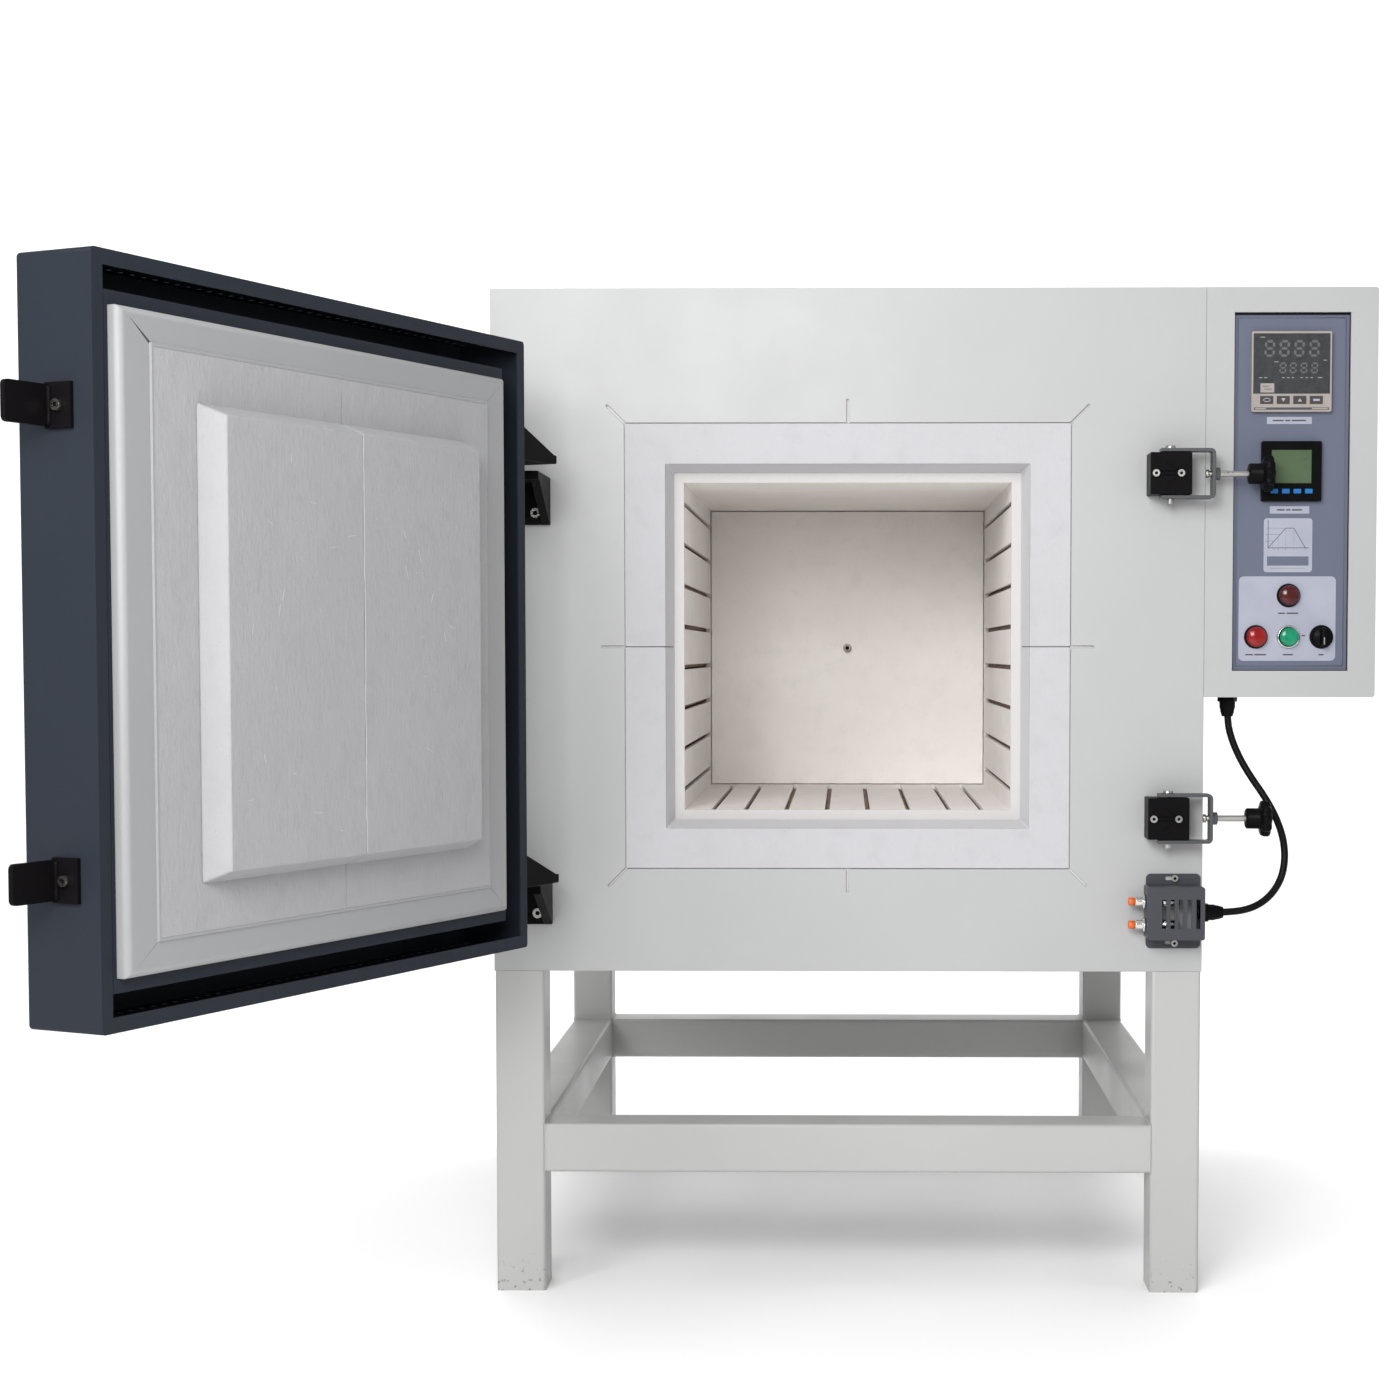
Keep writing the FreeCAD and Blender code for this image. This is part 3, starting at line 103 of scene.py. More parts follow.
class Shader:
    """A node material on a Principled shader, with short calls for what its surface needs."""

    def __init__(self, name, colour, roughness, metallic=0.0):
        self.material = bpy.data.materials.new(name)
        self.material.use_nodes = True
        self.tree = self.material.node_tree
        self.surface = self.tree.nodes["Principled BSDF"]
        self.set("Base Color", (*colour, 1))
        self.set("Roughness", roughness)
        self.set("Metallic", metallic)
        self.colour = colour
        self.coords = self.tree.nodes.new("ShaderNodeTexCoord").outputs["Object"]

    def set(self, socket, value):
        self.surface.inputs[socket].default_value = value

    def link(self, source, target):
        self.tree.links.new(source, target)

    def noise(self, scale, detail=3.0, stretch=None, roughness=0.55):
        """Noise at a number of features to the metre, stretched along an axis if asked."""
        node = self.tree.nodes.new("ShaderNodeTexNoise")
        node.inputs["Scale"].default_value = scale
        node.inputs["Detail"].default_value = detail
        node.inputs["Roughness"].default_value = roughness
        source = self.coords
        if stretch:
            mapping = self.tree.nodes.new("ShaderNodeMapping")
            mapping.inputs["Scale"].default_value = stretch
            self.link(source, mapping.inputs["Vector"])
            source = mapping.outputs["Vector"]
        self.link(source, node.inputs["Vector"])
        return node.outputs["Fac"]

    def cells(self, scale):
        node = self.tree.nodes.new("ShaderNodeTexVoronoi")
        node.inputs["Scale"].default_value = scale
        self.link(self.coords, node.inputs["Vector"])
        return node.outputs["Distance"]

    def ramp(self, source, low, high, from_value=0.0, to_value=1.0):
        """Spread a narrow span of a source over another span."""
        node = self.tree.nodes.new("ShaderNodeMapRange")
        for socket, value in (("From Min", low), ("From Max", high),
                              ("To Min", from_value), ("To Max", to_value)):
            node.inputs[socket].default_value = value
        self.link(source, node.inputs["Value"])
        return node.outputs["Result"]

    def place(self, axis):
        """The place along an axis of the kiln, in metres."""
        split = self.tree.nodes.new("ShaderNodeSeparateXYZ")
        self.link(self.coords, split.inputs["Vector"])
        return split.outputs[axis]

    def times(self, first, second):
        node = self.tree.nodes.new("ShaderNodeMath")
        node.operation = "MULTIPLY"
        self.link(first, node.inputs[0])
        if isinstance(second, float):
            node.inputs[1].default_value = second
        else:
            self.link(second, node.inputs[1])
        return node.outputs["Value"]

    def tint(self, mask, colour):
        """Mix another colour into the base where the mask is high."""
        base = self.surface.inputs["Base Color"]
        mix = self.tree.nodes.new("ShaderNodeMix")
        mix.data_type = "RGBA"
        if base.is_linked:
            self.link(base.links[0].from_socket, mix.inputs["A"])
        else:
            mix.inputs["A"].default_value = base.default_value
        mix.inputs["B"].default_value = (*colour, 1)
        self.link(mask, mix.inputs["Factor"])
        self.link(mix.outputs["Result"], base)

    def shade(self, amount):
        return tuple(channel * amount for channel in self.colour)

    def bump(self, height, distance, strength=1.0):
        node = self.tree.nodes.new("ShaderNodeBump")
        node.inputs["Distance"].default_value = distance
        node.inputs["Strength"].default_value = strength
        self.link(height, node.inputs["Height"])
        normal = self.surface.inputs["Normal"]
        if normal.is_linked:
            self.link(normal.links[0].from_socket, node.inputs["Normal"])
        self.link(node.outputs["Normal"], normal)

    def rough(self, mask, low, high):
        self.link(self.ramp(mask, 0.3, 0.7, low, high), self.surface.inputs["Roughness"])


def enamel(name, colour, roughness=0.42, chips=False, gloss=0.4):
    """Powder-coated steel: fine orange peel, faint clouding and, low down, chipped paint."""
    shader = Shader(name, colour, roughness)
    shader.set("Specular IOR Level", gloss)
    shader.tint(shader.ramp(shader.noise(2.2, 4), 0.35, 0.7), shader.shade(0.94))
    shader.tint(shader.ramp(shader.noise(55, 3), 0.55, 0.8), shader.shade(0.965))
    shader.bump(shader.noise(520, 2), 0.00025, 0.35)
    shader.rough(shader.noise(7, 4), roughness - 0.06, roughness + 0.07)
    if chips:
        near_floor = shader.ramp(shader.place("Z"), FLOOR, FLOOR + 0.05, 1.0, 0.0)
        spots = shader.ramp(shader.noise(160, 3), 0.60, 0.66)
        shader.tint(shader.times(near_floor, spots), (0.16, 0.14, 0.12))
    return shader.material


def fibre(name, colour, warm=0.0, painted_shading_band=None):
    """Pressed ceramic fibre: mottled, with a matted, slightly streaky surface, and painted shade in
    small hollows.

    The last argument, where given, is another colour and the depths in metres between which it sets
    in: painted light where that colour is lighter, painted shade where it is darker."""
    shader = Shader(name, colour, 0.95)
    shader.set("Specular IOR Level", 0.15)
    toasted = (colour[0] * (0.96 - warm * 0.1), colour[1] * (0.955 - warm * 0.25),
               colour[2] * (0.95 - warm * 0.4))
    shader.tint(shader.ramp(shader.noise(5, 5, roughness=0.65), 0.38, 0.68), toasted)
    shader.tint(shader.ramp(shader.noise(38, 4), 0.52, 0.75), shader.shade(0.93))
    if painted_shading_band:
        shading_colour, start, end = painted_shading_band
        # Past the given depth: painted light on the collar, painted shade on the chamber lining.
        shader.tint(shader.ramp(shader.place("Y"), start, end), shading_colour)
    # Darker spots for small hollows: painted shade, with no hollow in the surface.
    pit_shade = shader.ramp(shader.cells(240), 0.0, 0.28, 1.0, 0.0)
    sparse = shader.ramp(shader.noise(45, 2), 0.55, 0.62)
    shader.tint(shader.times(shader.times(pit_shade, sparse), 0.5), shader.shade(0.66))
    shader.bump(shader.noise(34, 5), 0.0022, 0.5)
    shader.bump(shader.noise(210, 5, stretch=(1, 1, 0.35), roughness=0.7), 0.0011, 0.6)
    return shader.material


def steel(name, colour, roughness=0.34):
    """Plated or brushed steel: fine drawn lines and cloudy sheen."""
    shader = Shader(name, colour, roughness, 1.0)
    lines = shader.noise(420, 3, stretch=(1, 1, 14))
    shader.tint(shader.ramp(lines, 0.4, 0.7), shader.shade(0.86))
    shader.rough(shader.noise(60, 4), roughness - 0.08, roughness + 0.14)
    shader.bump(lines, 0.00008, 0.5)
    return shader.material


def plastic(name, colour, roughness=0.4, gloss=0.4):
    """Moulded plastic: a fine moulded grain and slight wear in the gloss."""
    shader = Shader(name, colour, roughness)
    shader.set("Specular IOR Level", gloss)
    shader.tint(shader.ramp(shader.noise(30, 3), 0.4, 0.75), shader.shade(0.9))
    shader.bump(shader.noise(900, 2), 0.00012, 0.4)
    shader.rough(shader.noise(90, 3), roughness - 0.07, roughness + 0.1)
    return shader.material


def lens(name, colour, roughness=0.12, coat=0.2):
    """Coloured moulded lens with a clear skin over faint facets."""
    shader = Shader(name, colour, roughness)
    shader.set("Specular IOR Level", 0.25)
    shader.set("Coat Weight", coat)
    shader.set("Coat Roughness", 0.06)
    shader.tint(shader.ramp(shader.noise(120, 2), 0.4, 0.7), shader.shade(0.72))
    shader.bump(shader.cells(420), 0.0002, 0.5)
    return shader.material


def heater_wire():
    """Oxidised resistance wire: brown to dark grey along its length."""
    shader = Shader("heater_wire", (0.42, 0.30, 0.23), 0.8)
    shader.tint(shader.ramp(shader.noise(70, 4), 0.4, 0.65), (0.27, 0.20, 0.165))
    shader.bump(shader.noise(900, 3), 0.0001, 0.6)
    return shader.material


def rubber_cable():
    shader = Shader("cable_rubber", (0.003, 0.003, 0.0035), 0.45)
    shader.set("Specular IOR Level", 0.1)
    shader.tint(shader.ramp(shader.noise(90, 3), 0.5, 0.8), (0.009, 0.009, 0.0095))
    shader.bump(shader.noise(500, 3, stretch=(1, 1, 0.2)), 0.0002, 0.5)
    return shader.material


def floor_material():
    shader = Shader("studio_floor", (0.95, 0.95, 0.95), 0.6)
    shader.tint(shader.ramp(shader.noise(3, 3), 0.4, 0.7), (0.935, 0.935, 0.935))
    shader.bump(shader.noise(300, 2), 0.0002, 0.2)
    return shader.material


MATERIALS = {
    "white_enamel": enamel("white_enamel", (0.365, 0.366, 0.368)),
    "stand_enamel": enamel("stand_enamel", (0.39, 0.39, 0.386), chips=True),
    "slate_enamel": enamel("slate_enamel", (0.018, 0.022, 0.030), 0.45, gloss=0.1),
    "tray_enamel": enamel("tray_enamel", (0.285, 0.287, 0.292), 0.5),
    "panel_enamel": enamel("panel_enamel", (0.105, 0.116, 0.162), 0.5, gloss=0.2),
    "black_enamel": enamel("black_enamel", (0.0045, 0.004, 0.0045), 0.42, gloss=0.04),
    "cover_enamel": enamel("cover_enamel", (0.042, 0.045, 0.054), 0.42, gloss=0.3),
    "strap_enamel": enamel("strap_enamel", (0.055, 0.057, 0.062), 0.4, gloss=0.4),
    # The collar's faces deeper than 3 mm are painted lighter: painted light on the mouth's taper.
    "collar_fibre": fibre("collar_fibre", (0.43, 0.427, 0.445),
                          painted_shading_band=((0.50, 0.495, 0.51), 0.0015, 0.003)),
    # The chamber lining's front 34 mm is painted darker: painted shade in the throat.
    "chamber_fibre": fibre("chamber_fibre", (0.84, 0.81, 0.785), 0.08,
                           ((0.50, 0.487, 0.482), 0.036, 0.034)),
    "door_fibre": fibre("door_fibre", (0.335, 0.335, 0.346)),
    "door_plaster": fibre("door_plaster", (0.44, 0.44, 0.45)),
    "fibre_blanket": fibre("fibre_blanket", (0.62, 0.62, 0.61)),
    "heater_wire": heater_wire(),
    "terminal_brass": steel("terminal_brass", (0.72, 0.55, 0.26)),
    "sheath_ceramic": fibre("sheath_ceramic", (0.50, 0.46, 0.42), 0.2),
    "zinc_steel": steel("zinc_steel", (0.40, 0.395, 0.38), 0.3),
    "bright_metal": steel("bright_metal", (0.72, 0.72, 0.71), 0.16),
    "label_card": plastic("label_card", (0.30, 0.312, 0.375), 0.45),
    "print_grey": plastic("print_grey", (0.05, 0.05, 0.06), 0.6),
    "print_light": plastic("print_light", (0.24, 0.26, 0.26), 0.5),
    "beige_plastic": plastic("beige_plastic", (0.28, 0.25, 0.23), 0.45),
    "dark_window": lens("dark_window", (0.036, 0.038, 0.041), 0.25, 0.3),
    "segment_grey": plastic("segment_grey", (0.098, 0.102, 0.103), 0.5, gloss=0.2),
    "dark_key": plastic("dark_key", (0.05, 0.042, 0.04), 0.5, gloss=0.2),
    "black_plastic": plastic("black_plastic", (0.003, 0.003, 0.0035), 0.34, gloss=0.05),
    "lcd_green": plastic("lcd_green", (0.068, 0.102, 0.054), 0.3, gloss=0.15),
    "blue_key": plastic("blue_key", (0.010, 0.13, 0.38), 0.5, gloss=0.2),
    "red_lens": lens("red_lens", (0.24, 0.006, 0.006)),
    "alarm_lens": lens("alarm_lens", (0.065, 0.007, 0.007)),
    "green_lens": lens("green_lens", (0.006, 0.22, 0.11)),
    "orange_plastic": plastic("orange_plastic", (0.62, 0.115, 0.012), 0.4),
    "cable_rubber": rubber_cable(),
}


# ---------------------------------------------------------------- making pieces

def own(obj, material, body):
    """Finish a new piece: material and body."""
    obj.data.materials.clear()
    obj.data.materials.append(MATERIALS[material])
    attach(obj, body)
    return obj


def add_mesh(name, corners, faces, smooth=True):
    mesh = bpy.data.meshes.new(name)
    mesh.from_pydata([tuple(corner) for corner in corners], [], faces)
    mesh.validate()
    mesh.update()
    if smooth:
        mesh.shade_smooth()
    obj = bpy.data.objects.new(name, mesh)
    bpy.context.scene.collection.objects.link(obj)
    return obj


def soften(obj, width, segments=2, angle=35):
    """Weld split corners and round the sharp edges by a width in millimetres."""
    weld = obj.modifiers.new("weld", "WELD")
    weld.merge_threshold = 1e-6
    bevel = obj.modifiers.new("soft_edges", "BEVEL")
    bevel.limit_method = "ANGLE"
    bevel.angle_limit = math.radians(angle)
    bevel.width = width * MM
    bevel.segments = segments
    bevel.harden_normals = True
    bevel.use_clamp_overlap = True


def dress(node, material, width=0.8, segments=2):
    """Give a CAD node its material, and round its sharp edges."""
    obj = nodes[node]
    obj.data.materials.clear()
    obj.data.materials.append(MATERIALS[material])
    soften(obj, width, segments)


# For each axis, the matrix that lays a form turned about Z along it.
AXES = {"x": Matrix(((0, 0, 1), (1, 0, 0), (0, 1, 0))),
        "y": Matrix(((1, 0, 0), (0, 0, 1), (0, 1, 0))),
        "z": Matrix.Identity(3)}


def tube_faces(rings, sides):
    """Faces that join each ring of corners to the next, and a cap on each end."""
    faces = []
    for ring in range(rings - 1):
        for step in range(sides):
            following = (step + 1) % sides
            first, second = ring * sides, (ring + 1) * sides
            faces.append((first + step, first + following, second + following, second + step))
    last = (rings - 1) * sides
    return faces + [tuple(range(sides))[::-1], tuple(range(last, last + sides))]


def lathe(axis, centre, profile, segments=48, lobes=None):
    """Corners and faces of a turned form; profile is (along, radius) in millimetres.

    lobes, where given, is a function of (radius, angle, along) that reshapes each ring."""
    turn = AXES[axis]
    corners = []
    for along, radius in profile:
        for step in range(segments):
            angle = TURN * step / segments
            reach = lobes(radius, angle, along) if lobes else radius
            local = Vector((math.cos(angle) * reach, math.sin(angle) * reach, along)) * MM
            corners.append(Vector(centre) + turn @ local)
    return corners, tube_faces(len(profile), segments)


def merge(*meshes):
    """Join (corners, faces) pairs into one."""
    corners, faces = [], []
    for more_corners, more_faces in meshes:
        base = len(corners)
        corners += more_corners
        faces += [tuple(base + index for index in face) for face in more_faces]
    return corners, faces


def slab(low, high):
    """Corners and faces of a box between two corners in metres."""
    x, y, z = zip(low, high)
    corners = [Vector((x[i], y[j], z[k])) for i in (0, 1) for j in (0, 1) for k in (0, 1)]
    faces = [(0, 1, 3, 2), (4, 6, 7, 5), (0, 4, 5, 1), (2, 3, 7, 6), (0, 2, 6, 4), (1, 5, 7, 3)]
    return corners, faces


def plate(points, y_low, y_high):
    """A flat plate in X-Z from an outline in millimetres, between two Y places."""
    count = len(points)
    corners = [Vector((x, y, z)) * MM for y in (y_low, y_high) for x, z in points]
    faces = [tuple(range(count))[::-1], tuple(range(count, 2 * count))]
    for index in range(count):
        following = (index + 1) % count
        faces.append((index, following, count + following, count + index))
    return corners, faces


def sweep(points, radius, sides=6, wobble=0.0):
    """A round bar of a radius in millimetres along points in metres."""
    rng = random.Random(len(points))
    points = [Vector(point) for point in points]
    corners = []
    up = Vector((0.31, 0.17, 0.93)).normalized()
    for index, point in enumerate(points):
        ahead = points[min(index + 1, len(points) - 1)] - points[max(index - 1, 0)]
        across = ahead.cross(up).normalized()
        over = across.cross(ahead).normalized()
        reach = radius * MM * (1 + wobble * (rng.random() - 0.5))
        for step in range(sides):
            angle = TURN * step / sides
            corners.append(point + (across * math.cos(angle) + over * math.sin(angle)) * reach)
    return corners, tube_faces(len(points), sides)


def weld_bead(start, end, radius):
    """A weld laid along a joint: a bar that ripples every three millimetres."""
    start, end = Vector(start), Vector(end)
    count = max(2, int((end - start).length / (3 * MM)))
    return sweep([start.lerp(end, index / count) for index in range(count + 1)], radius, 6, 0.5)


def door_swing():
    """The matrix that swings a piece modelled on the shut door to where the door rests."""
    joint = joints["door_swing"]
    pivot = Matrix.Translation(joint["pos_m"])
    shut = math.radians(joint["range_deg"][1])
    return pivot @ Matrix.Rotation(-shut, 4, "Z") @ pivot.inverted()


# ---------------------------------------------------------------- case, stand and lining

def dress_case():
    for node in ("casing_wrap", "casing_front_plate", "casing_bottom_panel", "casing_back_panel",
                 "rear_terminal_cover", "control_box_shell"):
        dress(node, "white_enamel", 0.9)
    for node in ("stand_legs", "stand_rails"):
        dress(node, "stand_enamel", 0.6)
    dress("hinge_body_brackets", "black_enamel", 1.2)
    dress("hinge_pins", "zinc_steel", 0.6)
    dress("casing_screws", "zinc_steel", 0.35)
    dress("latch_blocks", "black_enamel", 1.0)


def dress_lining():
    dress("mouth_collar", "collar_fibre", 1.6, 3)
    for node in ("side_wall_boards", "floor_board", "ceiling_board", "rear_board"):
        dress(node, "chamber_fibre", 0.8)
    dress("backing_insulation", "fibre_blanket", 1.0)
    dress("element_terminals", "terminal_brass", 0.4)
    dress("thermocouple", "sheath_ceramic", 0.4)


GROOVES = [50 * (step + 0.5) for step in range(-4, 4)]
FLOOR_GROOVES = [-165, *GROOVES[1:-1], 165]
COIL_DEPTH, COIL_FRONT, COIL_REAR = 211, 46, 590
COIL_RADIUS, COIL_PITCH, WIRE_RADIUS = 4.6, 5.0, 1.0
TAIL_END, TAIL_RADIUS = 845, 2.2


def coil_points(place, depth_of):
    """Centre line of one wound coil along Y, with room for its ends."""
    turns = (COIL_REAR - COIL_FRONT) / COIL_PITCH
    count = int(turns * 8)
    points = []
    for step in range(count + 1):
        angle = TURN * turns * step / count
        along = COIL_FRONT + (COIL_REAR - COIL_FRONT) * step / count
        out, aside = COIL_RADIUS * math.cos(angle), COIL_RADIUS * math.sin(angle)
        points.append(depth_of(out, place + aside, along))
    return points


def heating_coils():
    """Wound coils in the grooves of both walls and the floor, in place of the plain rods."""
    walls = {
        "left": (GROOVES, lambda out, side, y: Vector((-COIL_DEPTH + out, y, side)) * MM),
        "right": (GROOVES, lambda out, side, y: Vector((COIL_DEPTH + out, y, side)) * MM),
        "floor": (FLOOR_GROOVES, lambda out, side, y: Vector((side, y, -COIL_DEPTH + out)) * MM),
    }
    for name, (places, depth_of) in walls.items():
        runs = [sweep(coil_points(place, depth_of), WIRE_RADIUS, 4) for place in places]
        for index in range(len(places) - 1):
            y = COIL_FRONT + 2 if index % 2 == 0 else COIL_REAR - 2
            link = [depth_of(0, places[index] + 4, y), depth_of(0, places[index + 1] - 4, y)]
            runs.append(sweep(link, WIRE_RADIUS, 6))
        for place in (places[0], places[-1]):
            tail = [depth_of(0, place, COIL_REAR - 4), depth_of(0, place, TAIL_END)]
            runs.append(sweep(tail, TAIL_RADIUS, 8))
        coil = own(add_mesh(f"heating_coils_{name}", *merge(*runs)), "heater_wire", "kiln")
        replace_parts(coil, "heating_elements")


def thermocouple_end_shade():
    """A black disc at the open end of the thermocouple's sheath: painted shade inside the sheath."""
    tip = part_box("thermocouple")[0].y / MM
    end_shade_disc = lathe("y", (0, 0, 0), [(tip - 0.25, 0.02), (tip - 0.25, 2.9), (tip + 0.5, 2.9),
                                  (tip + 0.5, 0.02)], 20)
    own(add_mesh("thermocouple_end_shade", *end_shade_disc, smooth=False), "black_enamel", "kiln")


def stand_welds():
    """Welds where the rails meet the legs."""
    beads = []
    legs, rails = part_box("stand_legs"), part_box("stand_rails")
    low, high = rails[0].z, rails[1].z
    tube = high - low
    inner = legs[1].x - tube
    for side in SIDES:
        for y in (legs[0].y, legs[1].y - tube):
            for face in (y + 0.0006, y + tube - 0.0006):
                beads.append(weld_bead((side * inner, face, low), (side * inner, face, high), 1.3))
            for z in (low, high):
                start, end = (side * inner, y + 0.004, z), (side * inner, y + tube - 0.004, z)
                beads.append(weld_bead(start, end, 1.5))
        for y in (legs[0].y + tube, legs[1].y - tube):
            for z in (low, high):
                beads.append(weld_bead((side * inner, y, z), (side * (inner + tube), y, z), 1.5))
    own(add_mesh("stand_weld_beads", *merge(*beads)), "stand_enamel", "kiln")


def pan_screw(place):
    """A low cross-head screw whose head faces backwards."""
    return lathe("y", place, [(0, 4), (1.2, 3.8), (2.2, 2.4), (2.3, 1.6), (1.2, 0.8)], 20)


# Socket screws: the face each row stands on, its places, and the radius of its heads.
LATCH_Z, HINGE_STEP = 206, 484
BLOCK_FACE, BLOCK_SCREWS_X, BLOCK_HEAD = -42, (366.5, 396.2), 4.25
HINGE_FACE, HINGE_SCREWS_X, HINGE_HEAD, HINGE_SCREW_Z = -13, (-410.7, -376), 6, 161
SWITCH_FACE, SWITCH_SCREW_X, SWITCH_HEAD, SWITCH_SCREWS_Z = -6, 397, 4, (-280.5, -359.5)
HOOK_FACE, HOOK_SCREW_Y, HOOK_HEAD = 343, -54, 5


def socket_shade(axis, place, head_radius, way):
    """A black hexagon at the bottom of a socket screw's head, painted shade of the socket; way is
    where the head faces.
    """
    top, bottom = -way * head_radius * 0.32, -way * head_radius * 0.5
    wide = head_radius * 0.49
    profile = [(top, 0.02), (top, wide), (bottom, wide), (bottom, 0.02)]
    return lathe(axis, Vector(place) * MM, profile, 6)


def screw_socket_shades():
    """Painted shade in the socket of each screw on the case, and of those on the door's hooks: black
    hexagons.
    """
    socket_shades = []
    for side in SIDES:
        for x in BLOCK_SCREWS_X:
            socket_shades.append(socket_shade("y", (x, BLOCK_FACE, side * LATCH_Z), BLOCK_HEAD, -1))
    for x in HINGE_SCREWS_X:
        for z in (HINGE_SCREW_Z, HINGE_SCREW_Z - HINGE_STEP):
            socket_shades.append(socket_shade("y", (x, HINGE_FACE, z), HINGE_HEAD, -1))
    for z in SWITCH_SCREWS_Z:
        socket_shades.append(socket_shade("y", (SWITCH_SCREW_X, SWITCH_FACE, z), SWITCH_HEAD, -1))
    own(add_mesh("screw_socket_shades", *merge(*socket_shades), smooth=False), "black_enamel", "kiln")
    hooks = [socket_shade("x", (HOOK_FACE, HOOK_SCREW_Y, side * LATCH_Z), HOOK_HEAD, 1)
             for side in SIDES]
    on_door("hook_screw_socket_shades", merge(*hooks), "black_enamel", smooth=False)


def back_screws():
    """Screws round the back panel and the flange of its terminal cover."""
    panel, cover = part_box("casing_back_panel"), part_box("rear_terminal_cover")
    y = panel[1].y
    screws = []
    inset = 0.016
    for step in range(6):
        share = step / 5
        for z in (panel[0].z + inset, panel[1].z - inset):
            x = panel[0].x + inset + (panel[1].x - panel[0].x - 2 * inset) * share
            screws.append(pan_screw((x, y, z)))
        for x in (panel[0].x + inset, panel[1].x - inset):
            if 0 < step < 5:
                z = panel[0].z + inset + (panel[1].z - panel[0].z - 2 * inset) * share
                screws.append(pan_screw((x, y, z)))
    for x in (cover[0].x + 0.0075, cover[1].x - 0.0075):
        for z in (-0.2, 0, 0.2):
            screws.append(pan_screw((x, y + 0.0015, z)))
    own(add_mesh("back_panel_screws", *merge(*screws)), "zinc_steel", "kiln")


# ---------------------------------------------------------------- control box

def flat_marks(name, outlines, y, material, body="kiln", thick=0.15):
    """Thin printed shapes in front of a face; each is an outline in X-Z millimetres."""
    shapes = [plate(points, y - thick, y) for points in outlines]
    return own(add_mesh(name, *merge(*shapes), smooth=False), material, body)


def bar(x, z, wide, tall):
    return [(x - wide / 2, z - tall / 2), (x + wide / 2, z - tall / 2),
            (x + wide / 2, z + tall / 2), (x - wide / 2, z + tall / 2)]


def stroke(start, end, wide=0.35):
    """A thin line between two points as an outline."""
    along = Vector(end) - Vector(start)
    across = Vector((-along.y, along.x)).normalized() * wide / 2
    return [tuple(Vector(point) + across * way) for point, way in
            ((start, -1), (end, -1), (end, 1), (start, 1))]


def seven_segments(x, z, tall, wide):
    """The seven bars of a digit that shows all its segments."""
    thick = tall * 0.15
    slant = tall * 0.05
    half, w = tall / 2, wide / 2
    bars = []
    for level in (-1, 0, 1):
        lean = slant * level / 2
        z_mid = z + level * (half - thick / 2)
        x_mid = x + lean
        reach = w - thick * 0.75
        bars.append([(x_mid - reach, z_mid), (x_mid - reach + thick / 2, z_mid - thick / 2),
                     (x_mid + reach - thick / 2, z_mid - thick / 2), (x_mid + reach, z_mid),
                     (x_mid + reach - thick / 2, z_mid + thick / 2),
                     (x_mid - reach + thick / 2, z_mid + thick / 2)])
    for side in SIDES:
        for level in SIDES:
            x_mid = x + side * (w - thick / 2) + slant * level / 4
            low = z + (thick * 0.55 if level > 0 else -half + thick * 0.75)
            high = z + (half - thick * 0.75 if level > 0 else -thick * 0.55)
            bars.append([(x_mid - thick / 2, low + thick / 2), (x_mid, low),
                         (x_mid + thick / 2, low + thick / 2), (x_mid + thick / 2, high - thick / 2),
                         (x_mid, high), (x_mid - thick / 2, high - thick / 2)])
    return bars


def middle_of(node):
    low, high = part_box(node)
    return (low + high) / 2 / MM


def controller_display():
    """Unlit digits, a row of small marks, a plain sticker and marks along the foot."""
    centre = middle_of("controller_housing")
    x, z = centre.x, centre.z
    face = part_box("controller_window")[0].y / MM
    digits = []
    for offset in (-26.4, -8.8, 9.0, 27.0):
        digits += seven_segments(x + offset, z + 27.5, 20, 12.5)
    for offset in (-10.5, 1.8, 14.6, 27.4):
        digits += seven_segments(x + offset, z + 4.3, 13, 8.4)
    flat_marks("controller_digits", digits, face, "segment_grey")
    row = ((-37, 4), (-31, 4), (-10, 3), (-4, 3), (1.5, 3), (12, 3), (18, 3), (24, 3), (34, 5))
    spots = [(-35, 41, 6), (-18.5, 11.5, 5), (40, 13.5, 4)]
    spots += [(offset, -7.3, wide) for offset, wide in row]
    marks = [bar(x + offset, z + rise, wide, 0.9) for offset, rise, wide in spots]
    flat_marks("controller_marks", marks, face, "print_light")
    flat_marks("controller_sticker", [bar(x - 29, z - 19.5, 16.5, 11)], face, "beige_plastic",
               thick=0.2)
    lines = [bar(x - 31, z - 17.5, 7, 0.7), bar(x - 28, z - 21, 9, 0.7)]
    flat_marks("controller_sticker_lines", lines, face - 0.2, "print_grey")
    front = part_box("controller_housing")[0].y / MM
    flat_marks("controller_foot_bar", [bar(x, z - 44.3, 90, 2.8)], front, "print_grey", thick=0.12)
    marks = [bar(x - 37, z - 44.3, 13, 1.6), bar(x + 34, z - 44.3, 19, 1.6)]
    flat_marks("controller_foot_marks", marks, front - 0.12, "beige_plastic", thick=0.1)


def key_symbols():
    """A light symbol on each controller key: ring, down, up, bar."""
    for number in range(1, 5):
        centre = middle_of(f"controller_key_{number}")
        x, z = centre.x, centre.z
        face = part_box(f"controller_key_{number}")[0].y / MM
        if number == 1:
            ring = [(x + 4 * math.cos(angle), z + 2 * math.sin(angle))
                    for angle in (TURN * step / 16 for step in range(17))]
            shapes = [stroke(start, end, 0.8) for start, end in zip(ring, ring[1:])]
        elif number in (2, 3):
            way = -1 if number == 2 else 1
            shapes = [[(x - 2.6, z - way * 2), (x + 2.6, z - way * 2), (x, z + way * 2.2)][::way]]
        else:
            shapes = [bar(x, z, 8, 2.6)]
        flat_marks(f"controller_key_symbol_{number}", shapes, face, "label_card",
                   f"controller_key_{number}_body", 0.12)


